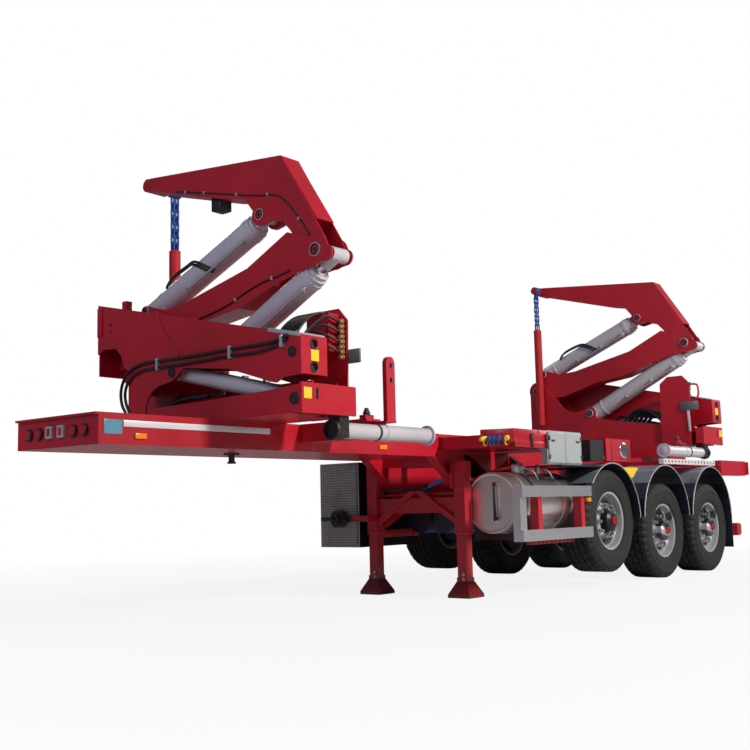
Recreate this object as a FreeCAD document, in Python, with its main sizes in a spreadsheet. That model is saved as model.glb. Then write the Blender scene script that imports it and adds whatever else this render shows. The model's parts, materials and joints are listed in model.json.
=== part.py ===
"""Side loader semi-trailer for one 20-foot container.

Row frame: +X points forward, +Y to the lifting side (left), +Z up.
The origin is on the ground, under the centre of the trailer's length and width.
Each crane is laid out in its own terms: u runs outward from its boom's centre plane,
away from the container, and y and z are the trailer's own.
"""
import FreeCAD, Part
import os
import re

import Sketcher

doc = FreeCAD.newDocument("side_loader")
sheet = doc.addObject("Spreadsheet::Sheet", "Sizes")

SIZES = {
    # chassis
    "front_x": 4925, "rear_x": -4925, "deck_z": 1560, "plate": 16, "thin_plate": 10,
    "rail_y": 405, "flange_width": 100, "web": 12,
    "neck_half_width": 485, "neck_bottom": 1340, "neck_rear_x": 1010, "neck_bend_x": 1075,
    "frame_front_x": 465, "frame_bottom": 905,
    "tail_x": -4155, "tail_bottom": 1180, "half_width": 1275,
    "kingpin_x": 3235, "kingpin_radius": 25.4, "kingpin_length": 84, "kingpin_pad": 130,
    "member_width": 90, "member_depth": 130,
    # container seats
    "front_lock_x": 2845, "lock_pitch_x": 5853, "lock_pitch_y": 2259,
    "bolster_width": 170, "bolster_depth": 150, "lock_width": 104, "lock_depth": 62,
    "lock_height": 34, "cone_height": 46, "bolster_end_y": 1070,
    "post_x": 2586, "post_y": 1175, "post_width": 110, "post_height": 518, "post_thick": 40,
    # wheels and axles
    "axle_one_x": -1055, "axle_pitch": 1310, "tyre_radius": 536, "tyre_width": 385,
    "track": 2040, "lift": 142, "rim_radius": 298, "axle_radius": 63, "hub_radius": 135,
    "drum_radius": 210, "drum_width": 190,
    "fender_gap": 62, "fender_thick": 12, "fender_inset": 25, "fender_width": 420,
    "arm_width": 110, "bag_radius": 150, "hanger_lead": 500,
    # landing gear
    "leg_x": 722, "leg_y": 548, "leg_width": 124, "leg_top": 1300, "leg_joint_z": 600,
    "leg_inner_width": 104, "foot_width": 250, "foot_height": 150,
    # side equipment
    "tank_y": 828, "tank_z": 890, "tank_radius": 292, "tank_front_x": 640, "tank_rear_x": -470,
    "guard_y": 1235, "guard_front_x": 797, "guard_rear_x": -535, "guard_low": 528, "guard_top": 1042,
    "guard_bar": 105, "bracket_width": 70, "pack_x": -155, "pack_length": 1000,
    "pack_y": -1200, "pack_width": 535,
    "pack_z": 470, "pack_height": 870, "panel_x": -394, "panel_length": 665, "panel_z": 1250,
    "panel_height": 325, "panel_y": 1175, "panel_depth": 65, "canister_x": -1500,
    "canister_y": 1100, "canister_depth": 140, "canister_length": 560, "canister_z": 1300,
    "canister_height": 240, "filter_length": 290,
    "air_tank_radius": 145, "air_tank_length": 640, "bumper_z": 400, "bumper_height": 160,
    "bar_z": 1302, "bar_height": 62, "bar_front_x": -2490, "bar_rear_x": -4021,
    # cranes
    "front_boom_x": 3235, "rear_boom_x": -3615, "boom_half": 105, "boom_plate": 10,
    "inner_half": 124, "inner_plate": 13, "cheek_gap": 130, "cheek": 20,
    "foot_y": -1050, "foot_z": 2410, "elbow_y": 1082, "elbow_z": 2848, "elbow_radius": 110,
    "elbow_boss": 122,
    "lift_foot_y": -266, "lift_foot_z": 2051, "lift_eye_y": 1190, "lift_eye_z": 2805,
    "reach_foot_y": -962, "reach_foot_z": 2640, "reach_eye_y": 462, "reach_eye_z": 3248,
    "tip_y": -972, "tip_z": 3797, "tip_radius": 60,
    "barrel_radius": 105, "bore_radius": 55.1, "rod_radius": 55, "eye_half": 60,
    "pin_radius": 45, "small_pin_radius": 35, "running_gap": 0.06,
    "lift_barrel": 1440, "lift_rod": 1066,
    "reach_barrel": 1433, "reach_rod": 1430,
    "slide_gap": 0.3, "joint_gap": 0.2, "floor": 14, "base_end_y": 1050, "base_side_y": -1165,
    "outer_u": 490, "inner_u": 210, "ram_u": 350, "ram_foot_y": -165, "ram_foot_z": 1988,
    "ram_eye_y": 1191, "ram_eye_z": 1666, "ram_radius": 67, "ram_rod_radius": 40,
    "ram_clear": 94, "ram_rod": 1130,
    "outrigger_low": 1574.6, "outrigger_high": 1768, "outrigger_root_y": -480,
    "outrigger_end_y": 1262, "leg_ram_y": 1178, "leg_ram_z": 1456,
    "leg_ram_radius": 62, "leg_ram_length": 1105, "sole_radius": 84,
    "chain_u": -216, "link_width": 44, "link_inner": 62,
    "link_thick": 14, "links": 8, "sleeve_radius": 52, "sleeve_length": 1325,
}

for row, (alias, value) in enumerate(SIZES.items(), start=1):
    sheet.set(f"A{row}", alias)
    sheet.set(f"B{row}", str(value))
    sheet.setAlias(f"B{row}", alias)
doc.recompute()

WORD = re.compile(r"[A-Za-z_][A-Za-z_0-9]*")


def cell(formula):
    """A formula in the sheet's words, as FreeCAD's expression engine reads it."""
    return WORD.sub(lambda m: "Sizes." + m.group() if m.group() in SIZES else m.group(), str(formula))


def place(obj, x=0, y=0, z=0):
    for axis, formula in zip("xyz", (x, y, z)):
        obj.setExpression(f"Placement.Base.{axis}", cell(formula))
    return obj


def block(x, y, z, length, width, height):
    """A box from its low corner."""
    obj = doc.addObject("Part::Box", "block")
    obj.setExpression("Length", cell(length))
    obj.setExpression("Width", cell(width))
    obj.setExpression("Height", cell(height))
    return place(obj, x, y, z)


AXES = {"x": (0, 1, 0, 90), "y": (1, 0, 0, -90), "z": (0, 0, 1, 0)}


def rod(axis, x, y, z, radius, length):
    """A round bar that starts at a point and runs along +axis."""
    obj = doc.addObject("Part::Cylinder", "rod")
    ax, ay, az, angle = AXES[axis]
    obj.Placement = FreeCAD.Placement(FreeCAD.Vector(), FreeCAD.Rotation(FreeCAD.Vector(ax, ay, az), angle))
    obj.setExpression("Radius", cell(radius))
    obj.setExpression("Height", cell(length))
    return place(obj, x, y, z)


def cone(axis, x, y, z, radius_one, radius_two, length):
    obj = doc.addObject("Part::Cone", "cone")
    ax, ay, az, angle = AXES[axis]
    obj.Placement = FreeCAD.Placement(FreeCAD.Vector(), FreeCAD.Rotation(FreeCAD.Vector(ax, ay, az), angle))
    obj.setExpression("Radius1", cell(radius_one))
    obj.setExpression("Radius2", cell(radius_two))
    obj.setExpression("Height", cell(length))
    return place(obj, x, y, z)


def outline(body, plane, points):
    """A closed sketch on one of the body's own planes, each corner held by the sheet."""
    sketch = body.newObject("Sketcher::SketchObject", body.Name + "_sketch")
    support = [f for f in body.Origin.OriginFeatures if f.Role == plane][0]
    sketch.AttachmentSupport = [(support, "")]
    sketch.MapMode = "FlatFace"
    values = [[float(sheet.evalExpression(cell(c))) for c in point] for point in points]
    count = len(points)
    for i in range(count):
        start = FreeCAD.Vector(values[i][0], values[i][1], 0)
        end = FreeCAD.Vector(values[(i + 1) % count][0], values[(i + 1) % count][1], 0)
        sketch.addGeometry(Part.LineSegment(start, end), False)
    for i in range(count):
        sketch.addConstraint(Sketcher.Constraint("Coincident", i, 2, (i + 1) % count, 1))
    for i, point in enumerate(points):
        for kind, value, formula in zip(("DistanceX", "DistanceY"), values[i], point):
            held = sketch.addConstraint(Sketcher.Constraint(kind, i, 1, value))
            sketch.setExpression(f"Constraints[{held}]", cell(formula))
    return sketch


def plate(plane, points, thickness, x=0, y=0, z=0):
    """A flat plate of any outline: padded along +X from YZ, along -Y from XZ, along +Z from XY."""
    body = doc.addObject("PartDesign::Body", "plate")
    sketch = outline(body, plane, points)
    pad = body.newObject("PartDesign::Pad", body.Name + "_pad")
    pad.Profile = sketch
    pad.setExpression("Length", cell(thickness))
    return place(body, x, y, z)


def turned(points, axis="V_Axis"):
    """A body turned about the sketch's own upright axis, from a half section on the XZ plane."""
    body = doc.addObject("PartDesign::Body", "turned")
    sketch = outline(body, "XZ_Plane", points)
    revolution = body.newObject("PartDesign::Revolution", body.Name + "_revolution")
    revolution.Profile = sketch
    revolution.ReferenceAxis = (sketch, [axis])
    revolution.Angle = 360
    return body


def joined(name, pieces):
    """One sub-part: its pieces fused, labelled with the sub-part's name."""
    fuse = doc.addObject("Part::MultiFuse", name)
    fuse.Shapes = pieces
    fuse.Label = name
    return fuse


def less(base, tools):
    """A base piece with its tools cut away."""
    tool = tools[0]
    if len(tools) > 1:
        tool = doc.addObject("Part::MultiFuse", "tools")
        tool.Shapes = tools
    cut = doc.addObject("Part::Cut", "cut")
    cut.Base = base
    cut.Tool = tool
    return cut


NODES = []


def named(name, obj):
    """A sub-part that is one object already."""
    obj.Label = name
    NODES.append(obj)
    return obj


def node(name, pieces):
    """A sub-part fused from several pieces."""
    return named(name, joined(name, pieces))


# ---------------------------------------------------------------- chassis

def rail(side):
    """One main beam: a deep web under the bed that thins towards the coupling, with its flanges."""
    web_profile = [
        ("front_x - 55", "deck_z - 2*plate"), ("rear_x + 20", "deck_z - 2*plate"),
        ("rear_x + 20", "tail_bottom"), ("tail_x", "tail_bottom"), ("tail_x + 260", "frame_bottom"),
        ("frame_front_x", "frame_bottom"), ("neck_bend_x - 15", "neck_bottom + thin_plate"),
        ("front_x - 55", "neck_bottom + thin_plate")]
    lower_edge = web_profile[2:]
    flange_profile = lower_edge + [(px, pz + " + plate") for px, pz in reversed(lower_edge)]
    y = f"{side}*rail_y"
    return [
        plate("XZ_Plane", web_profile, "web", 0, y + " + web/2"),
        plate("XZ_Plane", flange_profile, "flange_width", 0, y + " + flange_width/2"),
        block("rear_x + 20", y + " - flange_width/2", "deck_z - 2*plate",
              "front_x - rear_x - 75", "flange_width", "plate"),
        block("rear_x + 20", y + " - flange_width/2", "deck_z - plate",
              "neck_rear_x - rear_x - 20.5", "flange_width", "plate")]


def main_frame():
    """The two main beams and the cross members between them."""
    node("main_rails", rail(1) + rail(-1))
    pieces = []
    inner = "2*rail_y - web"
    for x in ("front_x - 700", "kingpin_x + 260", "kingpin_x - 350", "kingpin_x - 1130", "neck_bend_x + 60"):
        pieces.append(block(x, "-rail_y + web/2", "neck_bottom + thin_plate + plate", "member_width", inner,
                            "deck_z - 3*plate - neck_bottom - thin_plate"))
    for x in ("frame_front_x - 100", "leg_x - member_width/2", "frame_front_x - 900",
              "axle_one_x + 400", "axle_one_x - axle_pitch/2", "axle_one_x - 1.5*axle_pitch",
              "tail_x + 120"):
        pieces.append(block(x, "-rail_y + web/2", "deck_z - 2*plate - 2*member_depth", "member_width",
                            inner, "member_depth"))
    node("cross_members", pieces)


def side_bed():
    """Supports, side beams and end beam that carry what stands outside the main beams."""
    pieces = []
    bed_side_y = "rail_y + web/2"
    for side in (1, -1):
        start = "rail_y + flange_width/2" if side > 0 else "-half_width + 160"
        for x in ("rear_x + 60", "axle_one_x - 2.2*axle_pitch", "axle_one_x - 1.5*axle_pitch"):
            pieces.append(block(x, start, "bar_z + 6", 70, "half_width - 160 - rail_y - flange_width/2",
                                45))
            web_start = bed_side_y if side > 0 else "-rail_y - flange_width/2"
            pieces.append(block(x, web_start, "bar_z + 6", 70, "(flange_width - web)/2", 45))
    for side in (1, -1):
        low = "half_width - 160" if side > 0 else "-half_width + 40"
        pieces.append(block("rear_x + 20", low, "tail_bottom", "840", "120", "190"))
    pieces.append(block("rear_x", "-half_width + 5", "tail_bottom + 10", "20", "2*half_width - 10",
                        "170"))
    for side in (1, -1):
        low = "rail_y + flange_width/2" if side > 0 else "-half_width + 330"
        pieces.append(block("axle_one_x + 1055", low, "deck_z - 150", "980",
                            "half_width - 330 - rail_y - flange_width/2", "110"))
        inner_low = "rail_y + web/2" if side > 0 else "-rail_y - flange_width/2"
        pieces.append(block("axle_one_x + 1055", inner_low, "deck_z - 150", "980",
                            "(flange_width - web)/2", "110"))
    node("side_bed", pieces)


def gooseneck():
    """The coupling neck's skin: top plate, sides, sockets' panel, coupler plate and kingpin."""
    side_profile = [
        ("front_x - 30", "neck_bottom"), ("front_x - 30", "deck_z - plate"),
        ("neck_rear_x", "deck_z - plate"), ("neck_rear_x", "deck_z - 110"),
        ("neck_bend_x", "neck_bottom")]
    pieces = [block("neck_rear_x", "-neck_half_width", "deck_z - plate", "front_x - neck_rear_x",
                    "2*neck_half_width", "plate")]
    for y in ("neck_half_width", "-neck_half_width + web"):
        pieces.append(plate("XZ_Plane", side_profile, "web", 0, y))
    pieces.append(block("front_x - 55", "-neck_half_width", "neck_bottom", "30", "2*neck_half_width",
                        "deck_z - plate - neck_bottom"))
    pieces.append(block("neck_bend_x", "-neck_half_width + web", "neck_bottom",
                        "front_x - 30 - neck_bend_x", "2*neck_half_width - 2*web", "thin_plate"))
    for y in ("-330", "-205", "205", "330"):
        pieces.append(rod("x", "front_x - 25.5", y, "neck_bottom + 105", 34, 25.5))
    for y in ("-70", "70"):
        pieces.append(block("front_x - 25.5", y + " - 35", "neck_bottom + 70", 22, 70, 80))
    node("gooseneck", pieces)
    node("kingpin", [
        rod("z", "kingpin_x", 0, "neck_bottom - kingpin_length", "kingpin_radius + 10", 16),
        rod("z", "kingpin_x", 0, "neck_bottom - kingpin_length + 16", "kingpin_radius",
            "kingpin_length - 28"),
        rod("z", "kingpin_x", 0, "neck_bottom - 12", "kingpin_pad/2", 11.7)])


def lock(x, side):
    """A raised twistlock on its base plate: housing, collar and pointed cone."""
    y = f"{side}*lock_pitch_y/2"
    low = "bolster_end_y" if side > 0 else "-lock_pitch_y/2 - 70"
    return [
        block(x + " - bolster_width/2", low, "deck_z - plate", "bolster_width",
              "lock_pitch_y/2 + 70 - bolster_end_y", "plate"),
        block(x + " - lock_width/2", y + " - lock_depth/2", "deck_z", "lock_width", "lock_depth",
              "lock_height"),
        rod("z", x, y, "deck_z + lock_height", 24, 10),
        cone("z", x, y, "deck_z + lock_height + 10", 30, 12, "cone_height")]


def bolsters():
    """The two cross beams that the container stands on, with its locks and guide posts."""
    seats = []
    for name, x, face in (("front_bolster", "front_lock_x", "neck_half_width"),
                          ("rear_bolster", "front_lock_x - lock_pitch_x", "(rail_y + flange_width/2)")):
        pieces = []
        reach = f"bolster_end_y - {face}"
        for side in (1, -1):
            low = face if side > 0 else "-bolster_end_y"
            pieces.append(block(x + " - bolster_width/2", low, "deck_z - bolster_depth", "bolster_width",
                                reach, "bolster_depth"))
            seats += lock(x, side)
            if name == "front_bolster":
                pieces += post_arms(side)
                seats += guide_post(side)
        node(name, pieces)
    node("container_locks", seats)


def guide_post(side):
    """A rounded post on a short arm that guides the container's end down."""
    low = "post_y - post_thick" if side > 0 else "-post_y"
    shelf_low = "bolster_end_y" if side > 0 else "-post_y"
    outer = "post_width/2"
    post = plate("XZ_Plane", [
        (f"-{outer}", 0), (outer, 0), (outer, "post_height - 45"), ("post_width/3", "post_height - 12"),
        ("post_width/8", "post_height"), ("-post_width/8", "post_height"),
        ("-post_width/3", "post_height - 12"), (f"-{outer}", "post_height - 45")],
        "post_thick", "post_x", low + " + post_thick", "deck_z")
    return [
        less(post, [rod("y", "post_x", low + " - 1", "deck_z + post_height - 70", 18, "post_thick + 2"),
                    rod("y", "post_x", low + " - 1", "deck_z + post_height - 190", 18, "post_thick + 2")]),
        block("post_x - 60", shelf_low, "deck_z - plate", 120, "post_y - bolster_end_y", "plate")]


def post_arms(side):
    """The short arm under a guide post, tied to the bolster beside it."""
    arm_low = "neck_half_width" if side > 0 else "-bolster_end_y"
    return [
        block("post_x - 60", arm_low, "deck_z - 90", 120, "bolster_end_y - neck_half_width", 90),
        block("post_x + 60", f"{side}*900 - 60", "deck_z - 90",
              "front_lock_x - bolster_width/2 - post_x - 60", 120, 70)]


def landing_legs():
    """Two box legs with their braces, cross tube, gearbox and crank."""
    pieces = []
    inner = "leg_inner_width"
    for side in (1, -1):
        y = f"{side}*leg_y"
        pieces.append(less(
            block("leg_x - leg_width/2", y + " - leg_width/2", "leg_joint_z", "leg_width", "leg_width",
                  "leg_top - leg_joint_z"),
            [block("leg_x - leg_width/2 + 12", y + " - leg_width/2 + 12", "leg_joint_z - 1",
                   "leg_width - 24", "leg_width - 24", "leg_top - leg_joint_z - 20")]))
        pieces.append(block(f"leg_x - {inner}/2", y + f" - {inner}/2", "foot_height", inner, inner,
                            "leg_top - 40 - foot_height"))
        foot = doc.addObject("Part::Wedge", "foot")
        for key, formula in dict(
                Xmin="-foot_width/2", Xmax="foot_width/2", Ymin=0, Ymax="foot_height - 30",
                Zmin="-foot_width/2", Zmax="foot_width/2", X2min=f"-{inner}/2 - 10",
                X2max=f"{inner}/2 + 10", Z2min=f"-{inner}/2 - 10", Z2max=f"{inner}/2 + 10").items():
            foot.setExpression(key, cell(formula))
        foot.Placement.Rotation = FreeCAD.Rotation(FreeCAD.Vector(1, 0, 0), 90)
        pieces.append(place(foot, "leg_x", y, 30))
        pieces.append(block("leg_x - foot_width/2", y + " - foot_width/2", 0, "foot_width", "foot_width", 30))
        pieces.append(block(f"leg_x - {inner}/2 - 8", y + f" - {inner}/2 - 8", "foot_height - 1",
                            f"{inner} + 16", f"{inner} + 16", 40))
        brace = [("leg_x - leg_width/2 + 10", "leg_joint_z + 60"),
                 ("leg_x - leg_width/2 + 10", "leg_joint_z + 150"),
                 ("leg_x - 560", "frame_bottom + 20"), ("leg_x - 650", "frame_bottom + 20")]
        brace_y = "rail_y + flange_width/2 + 40" if side > 0 else "-rail_y - flange_width/2"
        pieces.append(plate("XZ_Plane", brace, 40, 0, brace_y))
        inward = "rail_y + flange_width/2" if side > 0 else "-leg_y + leg_width/2"
        gap = "leg_y - leg_width/2 - rail_y - flange_width/2"
        pieces.append(block("leg_x - 80", inward, "leg_top - 260", 160, gap, 240))
    tie = "2*leg_y - leg_width"
    pieces.append(block("leg_x - 50", "-leg_y + leg_width/2", "leg_joint_z + 206", 70, tie, 150))
    for side in (1, -1):
        strut = [(f"{side}*(leg_y - leg_width/2)", "leg_joint_z + 155"),
                 (f"{side}*75", "leg_joint_z + 425"), (f"-{side}*20", "leg_joint_z + 425"),
                 (f"{side}*(leg_y - leg_width/2)", "leg_joint_z + 90")]
        pieces.append(plate("YZ_Plane", strut, 40, "leg_x + 6"))
    pieces.append(rod("y", "leg_x - 35", "-leg_y + leg_width/2", "leg_joint_z + 390", 16, tie))
    shaft_y = "(-leg_y - leg_width/2 - 277)"
    shaft_z = "(leg_joint_z + 163)"
    front = "(pack_x + pack_length + 14)"
    pieces.append(block("leg_x + leg_width/2", "-leg_y - 30", shaft_z + " - 30",
                        front + " + 24 - leg_x - leg_width/2", 60, 60))
    pieces.append(block(front, shaft_y + " - 30", shaft_z + " - 30", 24, "-leg_y + 60 - " + shaft_y, 60))
    pieces.append(rod("x", front, shaft_y, shaft_z, 88, 90))
    pieces.append(rod("x", front + " + 90", shaft_y, shaft_z, 52, 40))
    pieces.append(rod("x", front + " + 130", shaft_y, shaft_z, 18, 50))
    pieces.append(block(front + " + 144", shaft_y + " - 150", shaft_z + " - 16", 22, 166, 32))
    pieces.append(rod("x", front + " + 84", shaft_y + " - 135", shaft_z, 14, 62))
    node("landing_legs", pieces)


def wheel_x(axle):
    return f"axle_one_x - {axle}*axle_pitch"


def wheel_z(axle):
    return "tyre_radius + lift" if axle == 0 else "tyre_radius"


def wheels():
    """Six single wide tyres on dished rims, each with its hub."""
    half = "tyre_width/2"
    for axle in range(3):
        for side, word in ((1, "left"), (-1, "right")):
            name = f"{word}_{axle + 1}"
            tyre = turned([
                ("rim_radius", f"-{half} + 45"), ("rim_radius + 60", f"-{half} + 12"),
                ("tyre_radius - 120", f"-{half}"), ("tyre_radius - 45", f"-{half} + 12"),
                ("tyre_radius - 8", f"-{half} + 45"), ("tyre_radius", 0),
                ("tyre_radius - 8", f"{half} - 45"), ("tyre_radius - 45", f"{half} - 12"),
                ("tyre_radius - 120", half), ("rim_radius + 60", f"{half} - 12"),
                ("rim_radius", f"{half} - 45")])
            rim = turned([
                ("rim_radius - 16", f"-{half} + 30"), ("rim_radius + 6", f"-{half} + 24"),
                ("rim_radius", f"-{half} + 45"), ("rim_radius", f"{half} - 45"),
                ("rim_radius + 6", f"{half} - 24"), ("rim_radius - 16", f"{half} - 30"),
                ("rim_radius - 28", f"{half} - 90"), ("rim_radius - 90", f"{half} - 105"),
                ("hub_radius + 8", f"{half} - 75"), ("hub_radius - 25", f"{half} - 75"),
                ("hub_radius - 25", f"{half} - 10"), ("hub_radius - 55", f"{half} + 15"),
                (0, f"{half} + 15"), (0, f"{half} - 95"), ("hub_radius + 8", f"{half} - 95"),
                ("rim_radius - 100", f"{half} - 122"), ("rim_radius - 40", f"{half} - 110"),
                ("rim_radius - 40", f"-{half} + 80")])
            for piece, kind in ((tyre, "tyre"), (rim, "rim")):
                piece.Placement.Rotation = FreeCAD.Rotation(FreeCAD.Vector(1, 0, 0), -90 * side)
                place(piece, wheel_x(axle), f"{side}*track/2", wheel_z(axle))
                named(f"{kind}_{name}", piece)


def axles():
    """Three tube axles with brake drums; the stub runs inside the rim's dish."""
    pieces = []
    inner = "(track/2 - tyre_width/2)"
    for axle in range(3):
        x, z = wheel_x(axle), wheel_z(axle)
        pieces.append(rod("y", x, f"-{inner} - 60", z, "axle_radius", f"2*{inner} + 120"))
        stub = "(track/2 + tyre_width/2 - 95 - slide_gap)"
        pieces.append(rod("y", x, f"-{stub}", z, "axle_radius - 5", f"2*{stub}"))
        for side in (1, -1):
            low = f"{inner} + 10" if side > 0 else f"-{inner} - 10 - drum_width"
            pieces.append(rod("y", x, low, z, "drum_radius", "drum_width"))
            chamber = f"{inner} - 200" if side > 0 else f"-{inner} + 60"
            pieces.append(rod("y", x + " + 150", chamber, z + " + 40", 75, 140))
            arm = f"{inner} - 70" if side > 0 else f"-{inner} + 40"
            pieces.append(block(x, arm, z + " - 20", 170, 30, 60))
    node("axles", pieces)


def suspension():
    """Hangers, trailing arms and air bags of the three axles."""
    pieces = []
    for axle in range(3):
        x, z = wheel_x(axle), wheel_z(axle)
        for side in (1, -1):
            y = f"{side}*rail_y"
            pieces.append(plate("XZ_Plane", [
                (x + " + hanger_lead - 90", "frame_bottom"), (x + " + hanger_lead + 90", "frame_bottom"),
                (x + " + hanger_lead + 60", z + " - 60"), (x + " + hanger_lead - 60", z + " - 60")],
                "arm_width", 0, y + " + arm_width/2"))
            arm = plate("XZ_Plane", [
                (x + " + hanger_lead", z + " - 40"), (x + " + hanger_lead", z + " + 40"),
                (x + " + 80", z + " + axle_radius + 25"), (x + " - 120", z + " + axle_radius + 25"),
                (x + " - 480", z + " + 20"), (x + " - 480", z + " - 40"),
                (x + " - 100", z + " + axle_radius - 45"), (x + " + 100", z + " + axle_radius - 45")],
                "arm_width - 20", 0, y + " + arm_width/2 - 10")
            pieces.append(less(arm, [rod("y", x, y + " - arm_width/2", z, "axle_radius", "arm_width")]))
            pieces.append(rod("z", x + " - 340", y, z + " - 10", "bag_radius - 30",
                              f"frame_bottom - 12 - ({z}) + 10"))
            pieces.append(rod("z", x + " - 340", y, z + " + 70", "bag_radius",
                              f"frame_bottom - 40 - ({z}) - 70"))
            pieces.append(rod("z", x + " - 340", y, "frame_bottom - 13", "bag_radius - 40", 13))
    node("suspension", pieces)


def fender_profile(axle):
    """One wheel's half-round guard: an outer arc and the inner arc back."""
    x, z = wheel_x(axle), "(tyre_radius + lift)"
    radius = "(tyre_radius + fender_gap)"
    first = 40 if axle == 0 else 2
    angles = [first + (178 - first) * step / 9 for step in range(10)]
    outer = [(f"{x} + ({radius} + fender_thick)*cos({a:.2f})",
              f"{z} + ({radius} + fender_thick)*sin({a:.2f})") for a in angles]
    inner = [(f"{x} + {radius}*cos({a:.2f})", f"{z} + {radius}*sin({a:.2f})") for a in angles]
    return outer + inner[::-1]


def fenders():
    """Half-round guards over the wheels, left and right, on their tubes, with shelf and mud flap."""
    pieces = []
    top = "2*tyre_radius + lift + fender_gap"
    inner = "(half_width - fender_inset - fender_width)"
    for side in (1, -1):
        low = "half_width - fender_inset" if side > 0 else f"-{inner}"
        near = inner if side > 0 else "fender_inset - half_width"
        for axle in range(3):
            pieces.append(plate("XZ_Plane", fender_profile(axle), "fender_width", 0, low))
            start = "rail_y + web/2" if side > 0 else f"-{inner} - 200"
            pieces.append(rod("y", wheel_x(axle), start, top + " - 23", 24,
                              f"{inner} + 200 - rail_y - web/2"))
        shelf = "830" if side > 0 else "pack_x - 10 - axle_one_x - 240"
        pieces.append(block("axle_one_x + 240", near, top + " - 42", shelf, "fender_width", 14))
        pieces.append(block("axle_one_x - 2*axle_pitch - tyre_radius - fender_gap - fender_thick",
                            near, 270, "fender_thick", "fender_width", "tyre_radius + lift - 240"))
    node("fenders", pieces)


def side_equipment():
    """Oil tank, its brackets, the alloy side guard, control box, canister and power pack."""
    length = "tank_front_x - tank_rear_x"
    node("oil_tank", [
        rod("x", "tank_rear_x", "tank_y", "tank_z", "tank_radius", length),
        rod("x", "tank_rear_x - 12", "tank_y", "tank_z", "tank_radius - 14", length + " + 24"),
        rod("x", "tank_rear_x + 180", "tank_y", "tank_z", "tank_radius + 4", 60),
        rod("x", "tank_front_x - 240", "tank_y", "tank_z", "tank_radius + 4", 60),
        rod("z", "tank_front_x - 420", "tank_y", "tank_z + tank_radius - 5", 55, 60),
        rod("z", "tank_front_x + 40", "tank_y + 60", "tank_z - 185", 14, 375),
        block("tank_front_x", "tank_y + 40", "tank_z - 185", 40, 40, 30),
        block("tank_front_x", "tank_y + 40", "tank_z + 160", 40, 40, 30)])
    brackets = []
    for x in ("tank_rear_x + 45", "tank_front_x - 235"):
        cradle = [("rail_y + web/2", "frame_bottom + 150"), ("rail_y + web/2", "deck_z - 180"),
                  ("tank_y - 170", "tank_z + 280"), ("tank_y", "tank_z"), ("tank_y + 210", "tank_z - 90"),
                  ("guard_y - 95", "guard_low + 210"),
                   ("guard_y - 75", "guard_top"), ("guard_y", "guard_top"),
                  ("guard_y", "guard_low"), ("rail_y + flange_width/2 + 48", "guard_low"),
                  ("rail_y + flange_width/2 + 48", "frame_bottom - 30"),
                  ("rail_y + flange_width/2 + 20", "frame_bottom + 20")]
        brackets.append(less(plate("YZ_Plane", cradle, "bracket_width", x),
                             [rod("x", x + " - 1", "tank_y", "tank_z", "tank_radius + 4",
                                  "bracket_width + 2")]))
    node("tank_brackets", brackets)
    guard = []
    for z in ("guard_low", "guard_top - guard_bar"):
        guard.append(block("guard_rear_x", "guard_y", z, "guard_front_x - guard_rear_x", 28, "guard_bar"))
    guard.append(block("guard_front_x - 110", "guard_y - 80", "guard_low", 110, 80.5,
                       "guard_top - guard_low"))
    node("side_guard", guard)
    node("control_box", [
        block("panel_x", "panel_y", "panel_z", "panel_length", "panel_depth", "panel_height"),
        block("panel_x + 12", "panel_y + panel_depth", "panel_z + 12", "panel_length - 24", 12,
              "panel_height - 24"),
        block("panel_x + 60", "rail_y + web/2", "panel_z + 150", 260,
              "panel_y - rail_y - web/2", 40)])
    node("canister", [
        block("canister_x", "canister_y", "canister_z", "canister_length", "canister_depth",
              "canister_height"),
        rod("y", "canister_x + 200", "canister_y + canister_depth", "canister_z + canister_height/2",
            80, 25),
        block("canister_x + canister_length", "canister_y + 10", "canister_z + 15", 40, 110, 40),
        block("canister_x + canister_length + 40", "canister_y", "canister_z - 5", "filter_length",
              "canister_depth - 10", "canister_height - 20"),
        block("canister_x + 40", "rail_y + web/2", "canister_z + 150", 120,
              "canister_y - rail_y - web/2", 60)])
    node("power_pack_box", [
        block("pack_x", "pack_y", "pack_z", "pack_length", "pack_width", "pack_height"),
        block("pack_x + pack_length", "pack_y + 30", "pack_z + 30", 8, "pack_width - 60",
              "pack_height - 60"),
        block("pack_x + 40", "pack_y + pack_width", "deck_z - 330", "pack_length - 260",
              "-pack_y - pack_width - rail_y - web/2", 60)])
    bottles = []
    for y in ("-285", "25"):
        bottles.append(rod("x", "pack_x - 170", y, "frame_bottom - 165", "air_tank_radius",
                           "air_tank_length"))
        for x in ("pack_x - 40", "pack_x + 300"):
            bottles.append(block(x, y + " - air_tank_radius - 12", "frame_bottom - 165", 40,
                                 "2*air_tank_radius + 24", "165"))
    bottles.append(block("pack_x - 40", "-rail_y - flange_width/2", "frame_bottom - 14", 40,
                         "2*rail_y + flange_width", 14))
    bottles.append(block("pack_x + 300", "-rail_y - flange_width/2",
                         "frame_bottom - 14", 40, "2*rail_y + flange_width", 14))
    node("air_tanks", bottles)


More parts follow.
